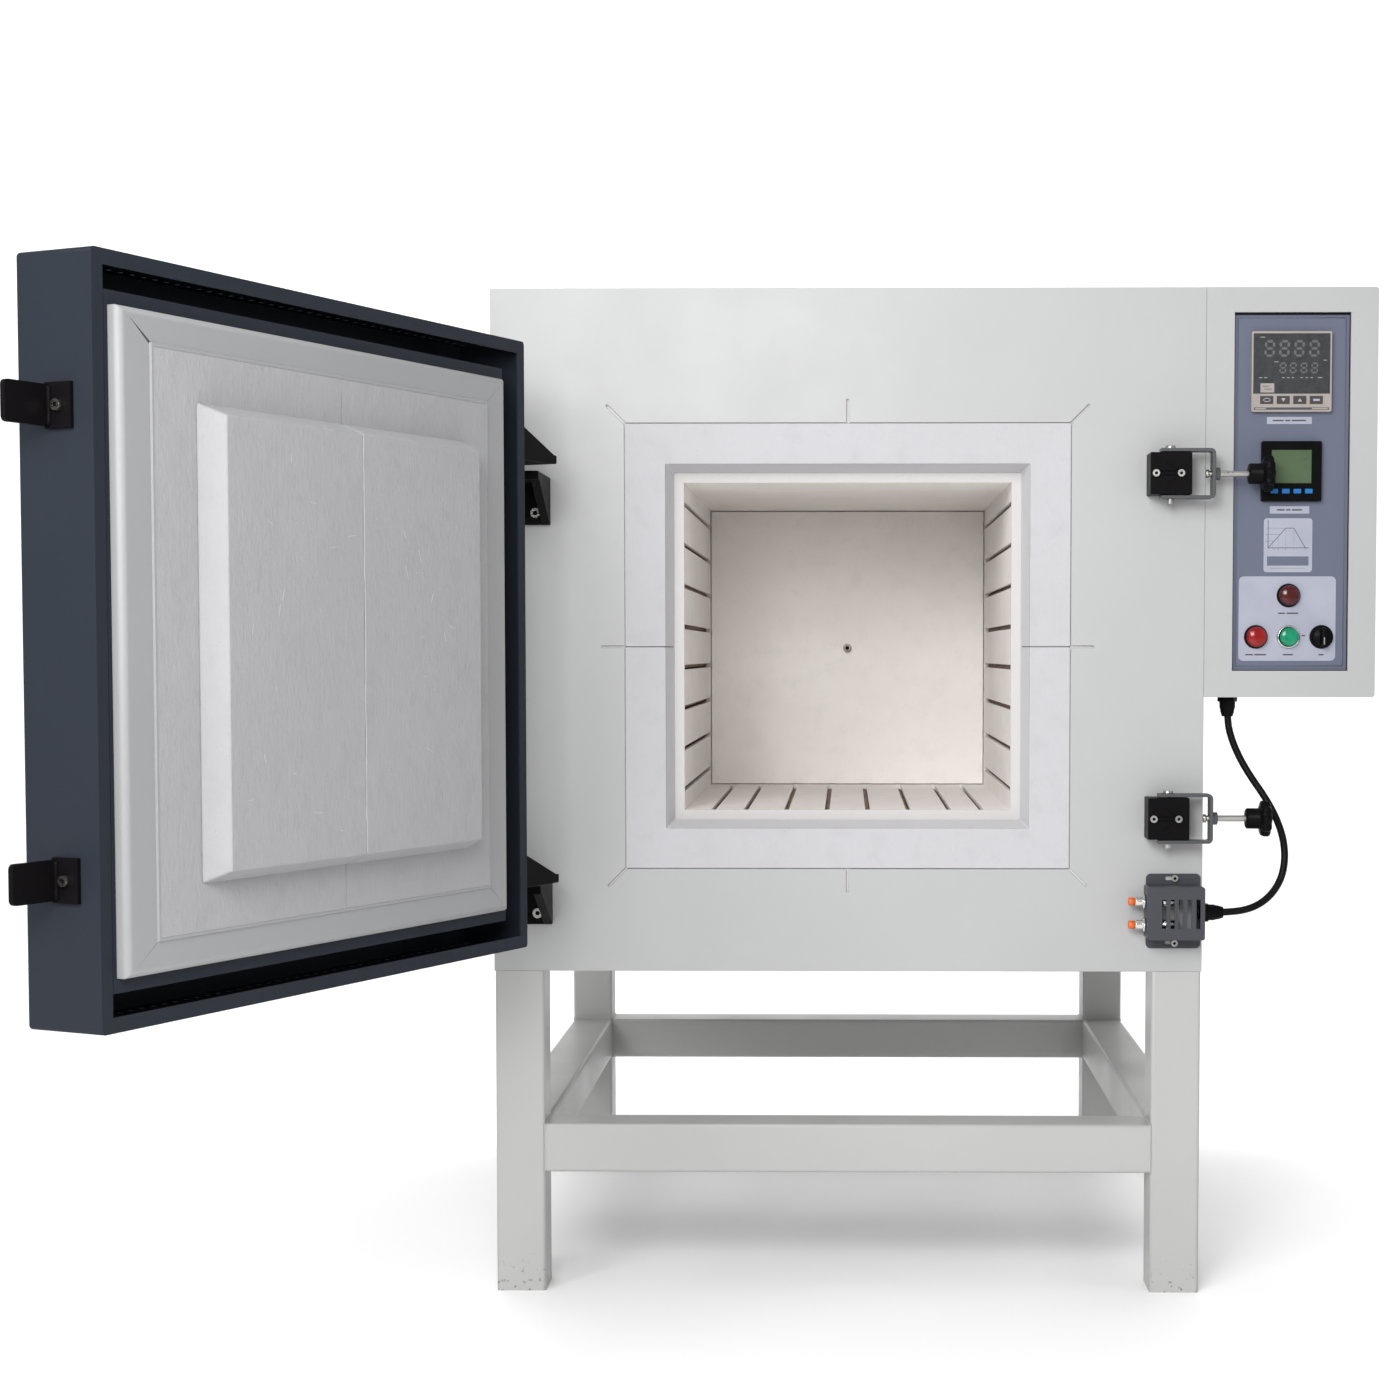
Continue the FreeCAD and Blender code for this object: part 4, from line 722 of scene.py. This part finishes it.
def graph_card():
    """Firing curve on its card: axes, ticks, dotted guides and the trapezoid."""
    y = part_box("panel_labels")[0].y / MM
    left, base, top, right = 507.7, 119.3, 152.5, 557
    up_end, hold_end, down_end, hold = 529, 538.7, 552.7, 143
    lines = [stroke((left, base), (left, top), 0.7), stroke((left, base), (right, base), 0.7)]
    curve = ((left, base), (up_end, hold), (hold_end, hold), (down_end, base))
    lines += [stroke(start, end, 0.65) for start, end in zip(curve, curve[1:])]
    for x, height in ((513.4, 6), (520, 13.5), (up_end, hold - base), (hold_end, hold - base)):
        for level in (base + 2 * step for step in range(int(height / 2))):
            lines.append(stroke((x, level), (x, level + 1.1), 0.25))
    for z, reach in ((127.5, 8), (135.5, 15), (hold, up_end - left)):
        lines.append(stroke((left, z), (left + reach, z), 0.25))
        lines.append(stroke((left - 3, z), (left - 1, z), 0.4))
    for x in (515, 520, up_end, hold_end, down_end):
        lines.append(stroke((x, base - 2.6), (x, base - 1.2), 0.5))
    flat_marks("graph_lines", lines, y, "print_grey")
    flat_marks("graph_card_band", [bar(531.7, 103.5, 50, 11)], y, "panel_enamel")
    foot = [bar(531.7, 94.5, 42, 1.1)]
    flat_marks("graph_card_foot_line", foot, y, "print_light")


def label_lines():
    """Plain bars where the panel carries words."""
    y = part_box("panel_labels")[0].y / MM
    words = []
    for x, z, widths in ((532, 272.2, (13, 6, 17)), (533.2, 165, (9, 5, 12)),
                         (533, 40.5, (8, 14)), (494, -9.5, (9, 14)), (533, -9.5, (12,)),
                         (573, -9.5, (6,)), (551.5, 13.5, (4,))):
        total = sum(widths) + 2 * (len(widths) - 1)
        start = x - total / 2
        for wide in widths:
            words.append(bar(start + wide / 2, z, wide, 1.7))
            start += wide + 2
    flat_marks("label_bars", words, y, "print_grey")


def panel_border():
    """The pressed border line just inside the panel window."""
    panel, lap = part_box("control_panel_plate"), 6
    y = panel[0].y / MM
    left, right = panel[0].x / MM + lap + 5, panel[1].x / MM - lap - 5
    low, high = panel[0].z / MM + lap + 6, panel[1].z / MM - lap - 6
    edges = [((left, low), (right, low)), ((right, low), (right, high)),
             ((right, high), (left, high)), ((left, high), (left, low))]
    rods = [sweep([Vector((a[0], y, a[1])) * MM, Vector((b[0], y, b[1])) * MM], 0.6, 8)
            for a, b in edges]
    own(add_mesh("panel_border", *merge(*rods)), "panel_enamel", "kiln")


def panel_recess_shade():
    """Black strips in the angle between the box's window and the recessed panel: painted shade of the
    recess.
    """
    panel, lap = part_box("control_panel_plate"), 6
    front = panel[0].y
    left, right = panel[0].x + lap * MM, panel[1].x - lap * MM
    low, high = panel[0].z + lap * MM, panel[1].z - lap * MM
    # The top strip is the tallest: painted shadow under the window's top edge.
    wide, tall, deep = 0.8 * MM, 2.6 * MM, 2 * MM
    strips = [slab((left, front - deep, low), (left + wide, front, high)),
              slab((right - wide, front - deep, low), (right, front, high)),
              slab((left, front - deep, low), (right, front, low + wide)),
              slab((left, front - deep, high - tall), (right, front, high))]
    recess_shade_strips = own(add_mesh("panel_recess_shade", *merge(*strips), smooth=False), "cable_rubber", "kiln")
    soften(recess_shade_strips, 0.3, 1)


LABEL_FACE = 5.6
ALARM_SPOT, LAMP_SPOT, START_SPOT, SELECTOR_SPOT = (533, 62), (494, 12), (533, 12), (573, 12)


def device_face(spot):
    """Where a device at an X-Z place meets the card behind it."""
    return spot[0] * MM, LABEL_FACE * MM, spot[1] * MM


def dome(radius, height, start):
    """(along, radius) of a shallow dome whose top points at -Y."""
    angles = [math.pi / 2 * step / 8 for step in range(9)]
    return [(start - height * math.sin(angle), radius * math.cos(angle) + 0.02) for angle in angles]


def alarm_place(side, reach, angle):
    """A place on the alarm's dome, at a distance and an angle from its middle."""
    x = ALARM_SPOT[0] + side * reach * math.cos(angle)
    z = ALARM_SPOT[1] + reach * math.sin(angle)
    return Vector((x, -6.5 + 0.045 * reach ** 2, z)) * MM


def panel_devices():
    """Lamp, alarm, button and selector: turned lenses in knurled rings."""
    for name, spot, material in (("alarm_lens", ALARM_SPOT, "alarm_lens"),
                                 ("lamp_lens", LAMP_SPOT, "red_lens")):
        profile = [(45, 10.6), (-4, 10.6), (-4, 12.4), (-7.5, 12.1)] + dome(11.7, 4.6, -8)
        obj = own(add_mesh(name, *lathe("y", device_face(spot), profile[::-1])), material, "kiln")
        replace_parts(obj, "indicator_lamps")
    arcs = []
    for side in SIDES:
        for reach in (3.2, 5.2, 7.2):
            for step in range(-3, 3):
                ends = [alarm_place(side, reach, math.radians(14 * value))
                        for value in (step, step + 1)]
                arcs.append(sweep(ends, 0.35, 5))
    own(add_mesh("alarm_arcs", *merge(*arcs)), "print_light", "kiln")
    profile = [(40, 8.6), (-7.3, 8.6), (-7.3, 11.3), (-9, 11.2)] + dome(10.6, 2.6, -9.4)
    cap = add_mesh("start_cap", *lathe("y", device_face(START_SPOT), profile[::-1]))
    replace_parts(own(cap, "green_lens", "start_button"), "start_button_cap")
    rings, dark_rings = [], []
    for spot, barrel, made in ((ALARM_SPOT, 0, dark_rings), (LAMP_SPOT, 0, dark_rings),
                               (START_SPOT, 50, rings), (SELECTOR_SPOT, 50, dark_rings)):
        profile = [(-3.8, 10.85), (-3.9, 12.4), (-3.2, 13.4), (-1.6, 14.3), (0, 14.6), (0, 10.85)]
        knurl = (lambda radius, angle, along:
                 radius - (0.22 * (1 + math.cos(60 * angle)) if radius > 13.5 else 0))
        made.append(lathe("y", device_face(spot), profile + [profile[0]], 240, knurl))
        if barrel:
            made.append(lathe("y", device_face(spot),
                               [(0, 9.05), (0, 10.8), (barrel, 10.8), (barrel, 9.05), (0, 9.05)], 48))
    for name, made, material in (("start_ring", rings, "bright_metal"),
                                 ("dark_rings", dark_rings, "black_plastic")):
        ring = own(add_mesh(name, *merge(*made)), material, "kiln")
        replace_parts(ring, "switch_bezels")
        soften(ring, 0.15, 1)


def selector():
    """Selector: skirt with finger flutes, a grip bar and a silver pointer."""
    place = device_face(SELECTOR_SPOT)

    def flutes(radius, angle, along):
        return radius - (0.35 * (1 + math.cos(24 * angle)) if radius > 11 else 0)

    skirt = lathe("y", place, [(-9.9, 0.02), (-9.9, 10.5), (-9.2, 11.5), (-4.4, 12.2), (-4, 11.9),
                               (-4, 8.6), (40, 8.6), (40, 0.02)][::-1], 144, flutes)
    grip = ((-9, 3.4, 11.3), (-17.5, 2.9, 11.0), (-19, 2.2, 10.2), (-19.3, 1.2, 9.2))
    corners, count = [], 24
    for level, half_wide, half_tall in grip:
        for step in range(count):
            angle = TURN * step / count
            x = half_wide * math.copysign(abs(math.cos(angle)) ** 0.6, math.cos(angle))
            z = half_tall * math.copysign(abs(math.sin(angle)) ** 0.6, math.sin(angle))
            corners.append(Vector(place) + Vector((x, level, z)) * MM)
    knob = add_mesh("selector_handle", *merge(skirt, (corners, tube_faces(len(grip), count))))
    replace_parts(own(knob, "black_plastic", "selector"), "selector_knob")
    x, y, z = (value / MM for value in place)
    pointer = flat_marks("selector_pointer", [bar(x, z - 5, 1.5, 8.5)], y - 19.2, "bright_metal",
                         "selector", 0.25)
    soften(pointer, 0.08, 1)


def dress_control_box():
    dress("control_panel_plate", "panel_enamel", 0.3)
    dress("panel_labels", "label_card", 0.12, 1)
    dress("controller_housing", "beige_plastic", 0.5)
    dress("controller_window", "dark_window", 0.25)
    dress("meter_housing", "black_plastic", 0.6)
    dress("meter_window", "lcd_green", 0.25)
    dress("power_relays", "black_plastic", 0.8)
    for number in range(1, 5):
        dress(f"controller_key_{number}", "dark_key", 0.5)
        dress(f"meter_key_{number}", "blue_key", 0.4)


# ---------------------------------------------------------------- lock switch and cable

CABLE_ROUTE = (
    (465, 35, -61), (465, 35, -90), (470, 34, -112), (480, 31, -136), (493, 25, -159),
    (508, 19, -181), (521, 13, -205), (530, 9, -231), (532, 4, -257), (526, -3, -282),
    (511, -11, -302), (490, -17, -315), (463, -20, -320), (435, -20, -320))


def sensor_cable():
    """The cable from the control box to the lock switch."""
    curve = bpy.data.curves.new("lock_switch_cable", "CURVE")
    curve.dimensions = "3D"
    curve.bevel_depth = 4.35 * MM
    curve.bevel_resolution = 5
    curve.resolution_u = 10
    spline = curve.splines.new("NURBS")
    spline.points.add(len(CABLE_ROUTE) - 1)
    for point, place in zip(spline.points, CABLE_ROUTE):
        point.co = (*(Vector(place) * MM), 1)
    spline.order_u = 3
    spline.use_endpoint_u = True
    obj = bpy.data.objects.new("lock_switch_cable", curve)
    bpy.context.scene.collection.objects.link(obj)
    own(obj, "cable_rubber", "kiln")
    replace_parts(obj, "sensor_cable")


def gland(axis, place, way, inner):
    """A cable gland: hexagon base, ribbed cap and a clawed nose."""
    def shape(radius, angle, along):
        along = along * way
        if 0.2 < along < 6 and radius > inner + 5.5:
            sector = (angle % (TURN / 6)) - TURN / 12
            return (inner + 6.1) / math.cos(sector)
        if 6.5 < along < 14 and radius > inner + 4.5:
            return radius - 0.35 * (1 + math.cos(18 * angle))
        if along >= 17:
            return radius - 0.5 * (math.cos(6 * angle) > 0.85)
        return radius

    steps = [(-6, 3.4), (0, 3.4), (0, 6.1), (0.4, 6.9), (5.6, 6.9), (6, 6.1), (6, 5.2), (7, 5.2),
             (13.4, 5.1), (14, 4.6), (16, 4.1), (18, 3.9), (24, 2.1)]
    profile = [(way * along, inner + wall) for along, wall in steps]
    profile += [(way * 24, inner), (way * -6, inner), profile[0]]
    return lathe(axis, place, profile, 72, shape)


def cable_glands():
    exit_place = Vector(CABLE_ROUTE[0]) * MM
    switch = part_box("switch_cover")[1].x
    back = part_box("casing_back_panel")[1].y
    glands = [gland("z", exit_place, -1, 4.5), gland("x", (switch, -0.020, -0.320), 1, 4.5),
              gland("y", (0.34, back, -0.34), 1, 9)]
    obj = own(add_mesh("gland_set", *merge(*glands)), "black_plastic", "kiln")
    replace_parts(obj, "cable_glands")
    soften(obj, 0.25, 1, 40)


def proximity_sensors():
    """Threaded barrels with lock nuts and coloured tips."""
    tip, wall = 339, 360
    nut = wall - 4

    def hexagon(radius, angle, along):
        sector = (angle % (TURN / 6)) - TURN / 12
        return 8.0 / math.cos(sector) if radius > 8 else radius

    barrels, nuts, caps = [], [], []
    for z in (-0.307, -0.335):
        place = (0, -0.020, z)
        thread = [(tip + 8, 5.2)]
        along = tip + 9
        while along < wall + 18:
            thread += [(along, 5.55), (along + 0.5, 6.0)]
            along += 1
        thread += [(wall + 40, 5.8), (wall + 40, 0.02)]
        barrels.append(lathe("x", place, [(tip + 8, 0.02)] + thread, 32))
        nuts.append(lathe("x", place, [(nut, 5.9), (nut, 7.6), (nut + 0.5, 8.6), (nut + 3.5, 8.6),
                                       (nut + 4, 7.6), (nut + 4, 5.9)], 48, hexagon))
        caps.append(lathe("x", place, [(tip, 0.02), (tip, 4.2), (tip + 0.7, 5), (tip + 8, 5),
                                       (tip + 8, 0.02)], 32))
    metal = own(add_mesh("sensor_barrels", *merge(*barrels, *nuts)), "bright_metal", "kiln")
    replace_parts(metal, "proximity_sensors")
    tips = own(add_mesh("sensor_tips", *merge(*caps)), "orange_plastic", "kiln")
    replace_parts(tips, "proximity_sensors")


# ---------------------------------------------------------------- latches

COLLAR_LONG, THREAD_PITCH = 17, 1.25


def star_knob(place):
    """Ribbed star head on a plain collar."""
    def lobes(radius, angle, along):
        if along > COLLAR_LONG + 0.5 and radius > 12:
            return radius - 1.5 * (1 - math.cos(10 * angle)) ** 0.8
        if 2 < along < COLLAR_LONG - 2 and radius > 12:
            return radius - 0.25 * (1 + math.cos(24 * angle))
        return radius

    collar = [(0, 3.95), (0, 10.5), (1.5, 12.3), (COLLAR_LONG - 1.5, 12.4)]
    star = [(0, 13.5), (0.3, 17.5), (1.5, 20.8), (3.5, 22.2), (9, 22.4), (11, 21.2), (12.4, 18.5),
            (13, 14), (13, 8), (12.2, 7.4), (12.2, 0.02)]
    profile = collar + [(COLLAR_LONG + along, radius) for along, radius in star]
    return lathe("x", place, profile, 160, lobes)


def latches():
    for word in ("upper", "lower"):
        dress(f"latch_{word}_bail", "strap_enamel", 0.6, 2)
        dress(f"latch_{word}_pad", "zinc_steel", 0.3)
        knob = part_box(f"latch_{word}_knob")
        place = (knob[0].x, (knob[0].y + knob[1].y) / 2, (knob[0].z + knob[1].z) / 2)
        obj = add_mesh(f"star_knob_{word}", *star_knob(place))
        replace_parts(own(obj, "black_plastic", f"{word}_handle"), f"latch_{word}_knob")
        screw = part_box(f"latch_{word}_screw")
        start, end = screw[0].x / MM, screw[1].x / MM
        profile, along = [(start, 0.02), (start, 3.2)], start + 0.8
        while along < end - 1:
            profile += [(along, 3.35), (along + 0.6, 3.93)]
            along += THREAD_PITCH
        profile += [(end, 3.6), (end, 0.02)]
        thread = lathe("x", (0, place[1], place[2]), profile, 24)
        rod = own(add_mesh(f"latch_thread_{word}", *thread), "zinc_steel", f"{word}_handle")
        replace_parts(rod, f"latch_{word}_screw")


# ---------------------------------------------------------------- door

def dress_door():
    dress("door_shell", "slate_enamel", 0.9)
    dress("door_tray", "tray_enamel", 0.8)
    dress("door_insulation", "fibre_blanket", 1.0)
    dress("door_board", "door_fibre", 0.5, 2)
    dress("door_plug", "door_fibre", 2.4, 3)
    dress("door_hooks", "black_enamel", 0.9)
    dress("door_hinge_brackets", "black_enamel", 1.2)
    dress("door_screws", "zinc_steel", 0.35)
    dress("switch_cover", "cover_enamel", 0.4)


# Places on the shut door, in millimetres.
DOOR_LEFT, DOOR_RIGHT, TRAY_LEFT, TRAY_RIGHT, TRAY_HALF = -357.6, 334, -300.6, 313.4, 293
TRAY_FACE, BOARD_INSET_X, BOARD_INSET_Z, PLUG_FACE, PLUG_HALF = -7.0, 41, 32, 20.6, 206.3


def on_door(name, mesh, material, smooth=True):
    """A piece modelled on the shut door, swung to where the door rests."""
    corners, faces = mesh
    swing = door_swing()
    obj = add_mesh(name, [swing @ corner for corner in corners], faces, smooth=smooth)
    return own(obj, material, "door")


def door_joints():
    """Mitred corners of the tray, and weld beads at the hooks and the hinge ears."""
    slots = []
    for side_x, edge in ((-1, TRAY_LEFT), (1, TRAY_RIGHT)):
        for side_z in SIDES:
            outer = Vector((edge - side_x * 12, side_z * (TRAY_HALF - 9)))
            inner = Vector((edge - side_x * (BOARD_INSET_X - 3),
                            side_z * (TRAY_HALF - BOARD_INSET_Z + 3)))
            along = inner - outer
            across = Vector((-along.y, along.x)).normalized()
            wide = 1.4 if (side_x, side_z) == (1, 1) else 0.12
            slot = [tuple(outer), tuple(inner - across * wide), tuple(inner + across * wide)]
            slots.append(plate(slot, TRAY_FACE - 0.3, TRAY_FACE + 0.08))
    on_door("tray_mitres", merge(*slots), "print_grey", smooth=False)
    beads = []
    hook_root = Vector((DOOR_RIGHT + 4.6, -64.2, 0)) * MM
    for level in (-LATCH_Z * MM, LATCH_Z * MM):
        beads.append(weld_bead(hook_root + Vector((0, 0, level - 0.017)),
                               hook_root + Vector((0, 0, level + 0.017)), 2.4))
    ear_root = (DOOR_LEFT - 6.4) * MM
    for base in (0.0, -HINGE_STEP * MM):
        for start, end, radius in (((-0.092, 0.2205), (-0.034, 0.2205), 2.2),
                                   ((-0.0315, 0.224), (-0.0315, 0.243), 2.0)):
            beads.append(weld_bead((ear_root, start[0], start[1] + base),
                                   (ear_root, end[0], end[1] + base), radius))
    on_door("door_weld_beads", merge(*beads), "black_enamel")


def crack(rng, start, end, wander, steps):
    """Places along a crack that wanders either side of a straight line."""
    start, end = Vector(start), Vector(end)
    along = end - start
    across = Vector((-along.y, along.x)).normalized()
    drift, places = 0.0, []
    for step in range(steps + 1):
        share = step / steps
        drift += rng.uniform(-1, 1) * wander
        drift *= 0.86
        places.append(start + along * share + across * drift)
    return places


def ribbon(places, widths, face, proud):
    """A thin ragged strip on a face of the shut door."""
    corners, faces = [], []
    for index, place in enumerate(places):
        ahead = places[min(index + 1, len(places) - 1)] - places[max(index - 1, 0)]
        across = Vector((-ahead.y, ahead.x)).normalized() * widths[index] / 2
        for spot, y in ((place - across, face - 0.3), (place - across * 0.6, face + proud),
                        (place + across * 0.6, face + proud), (place + across, face - 0.3)):
            corners.append(Vector((spot.x, y, spot.y)) * MM)
    for ring in range(len(places) - 1):
        for step in range(3):
            first, second = 4 * ring + step, 4 * (ring + 1) + step
            faces.append((first, first + 1, second + 1, second))
    return corners, faces


def plug_plaster():
    """Filler along the plug's seam, and flecks of it over fine cracks."""
    rng = random.Random(11)
    seam = crack(rng, (0, PLUG_HALF - 3), (0, 3 - PLUG_HALF), 0.35, 60)
    strips = [ribbon(seam, [rng.uniform(0.5, 1.3) for _ in seam], PLUG_FACE, 0.2)]
    for _ in range(26):
        start = Vector((rng.uniform(-185, 185), rng.uniform(-185, 185)))
        lean = rng.uniform(-0.5, 0.5) + (math.pi / 2 if rng.random() < 0.4 else 0)
        end = start + Vector((math.cos(lean), math.sin(lean))) * rng.uniform(3, 17)
        places = crack(rng, start, end, 0.5, 8)
        widths = [0.3 + 0.8 * math.sin(math.pi * index / 8) for index in range(len(places))]
        strips.append(ribbon(places, widths, PLUG_FACE, 0.15))
    on_door("plug_filler", merge(*strips), "door_plaster")


# ---------------------------------------------------------------- stage

def make_floor():
    """A floor that curves up into a backdrop."""
    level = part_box("stand_legs")[0].z
    reach, back, rise = 6.0, 3.5, 4.0
    corners, faces = [], []
    outline = [(-reach, 0), (back - 1, 0)]
    outline += [(back - 1 + math.sin(a), 1 - math.cos(a)) for a in
                (math.pi / 2 * step / 12 for step in range(1, 13))]
    outline.append((back, rise))
    for y, z in outline:
        corners += [Vector((-reach, y, level + z)), Vector((reach, y, level + z))]
    for index in range(len(outline) - 1):
        faces.append((2 * index, 2 * index + 1, 2 * index + 3, 2 * index + 2))
    floor = add_mesh("studio_floor", corners, faces)
    floor.data.materials.append(floor_material())


make_camera()
make_lights()
sensor_cable()
dress_case()
dress_lining()
heating_coils()
thermocouple_end_shade()
stand_welds()
back_screws()
dress_control_box()
controller_display()
key_symbols()
graph_card()
label_lines()
panel_border()
panel_recess_shade()
panel_devices()
selector()
cable_glands()
proximity_sensors()
latches()
dress_door()
door_joints()
plug_plaster()
screw_socket_shades()
make_floor()
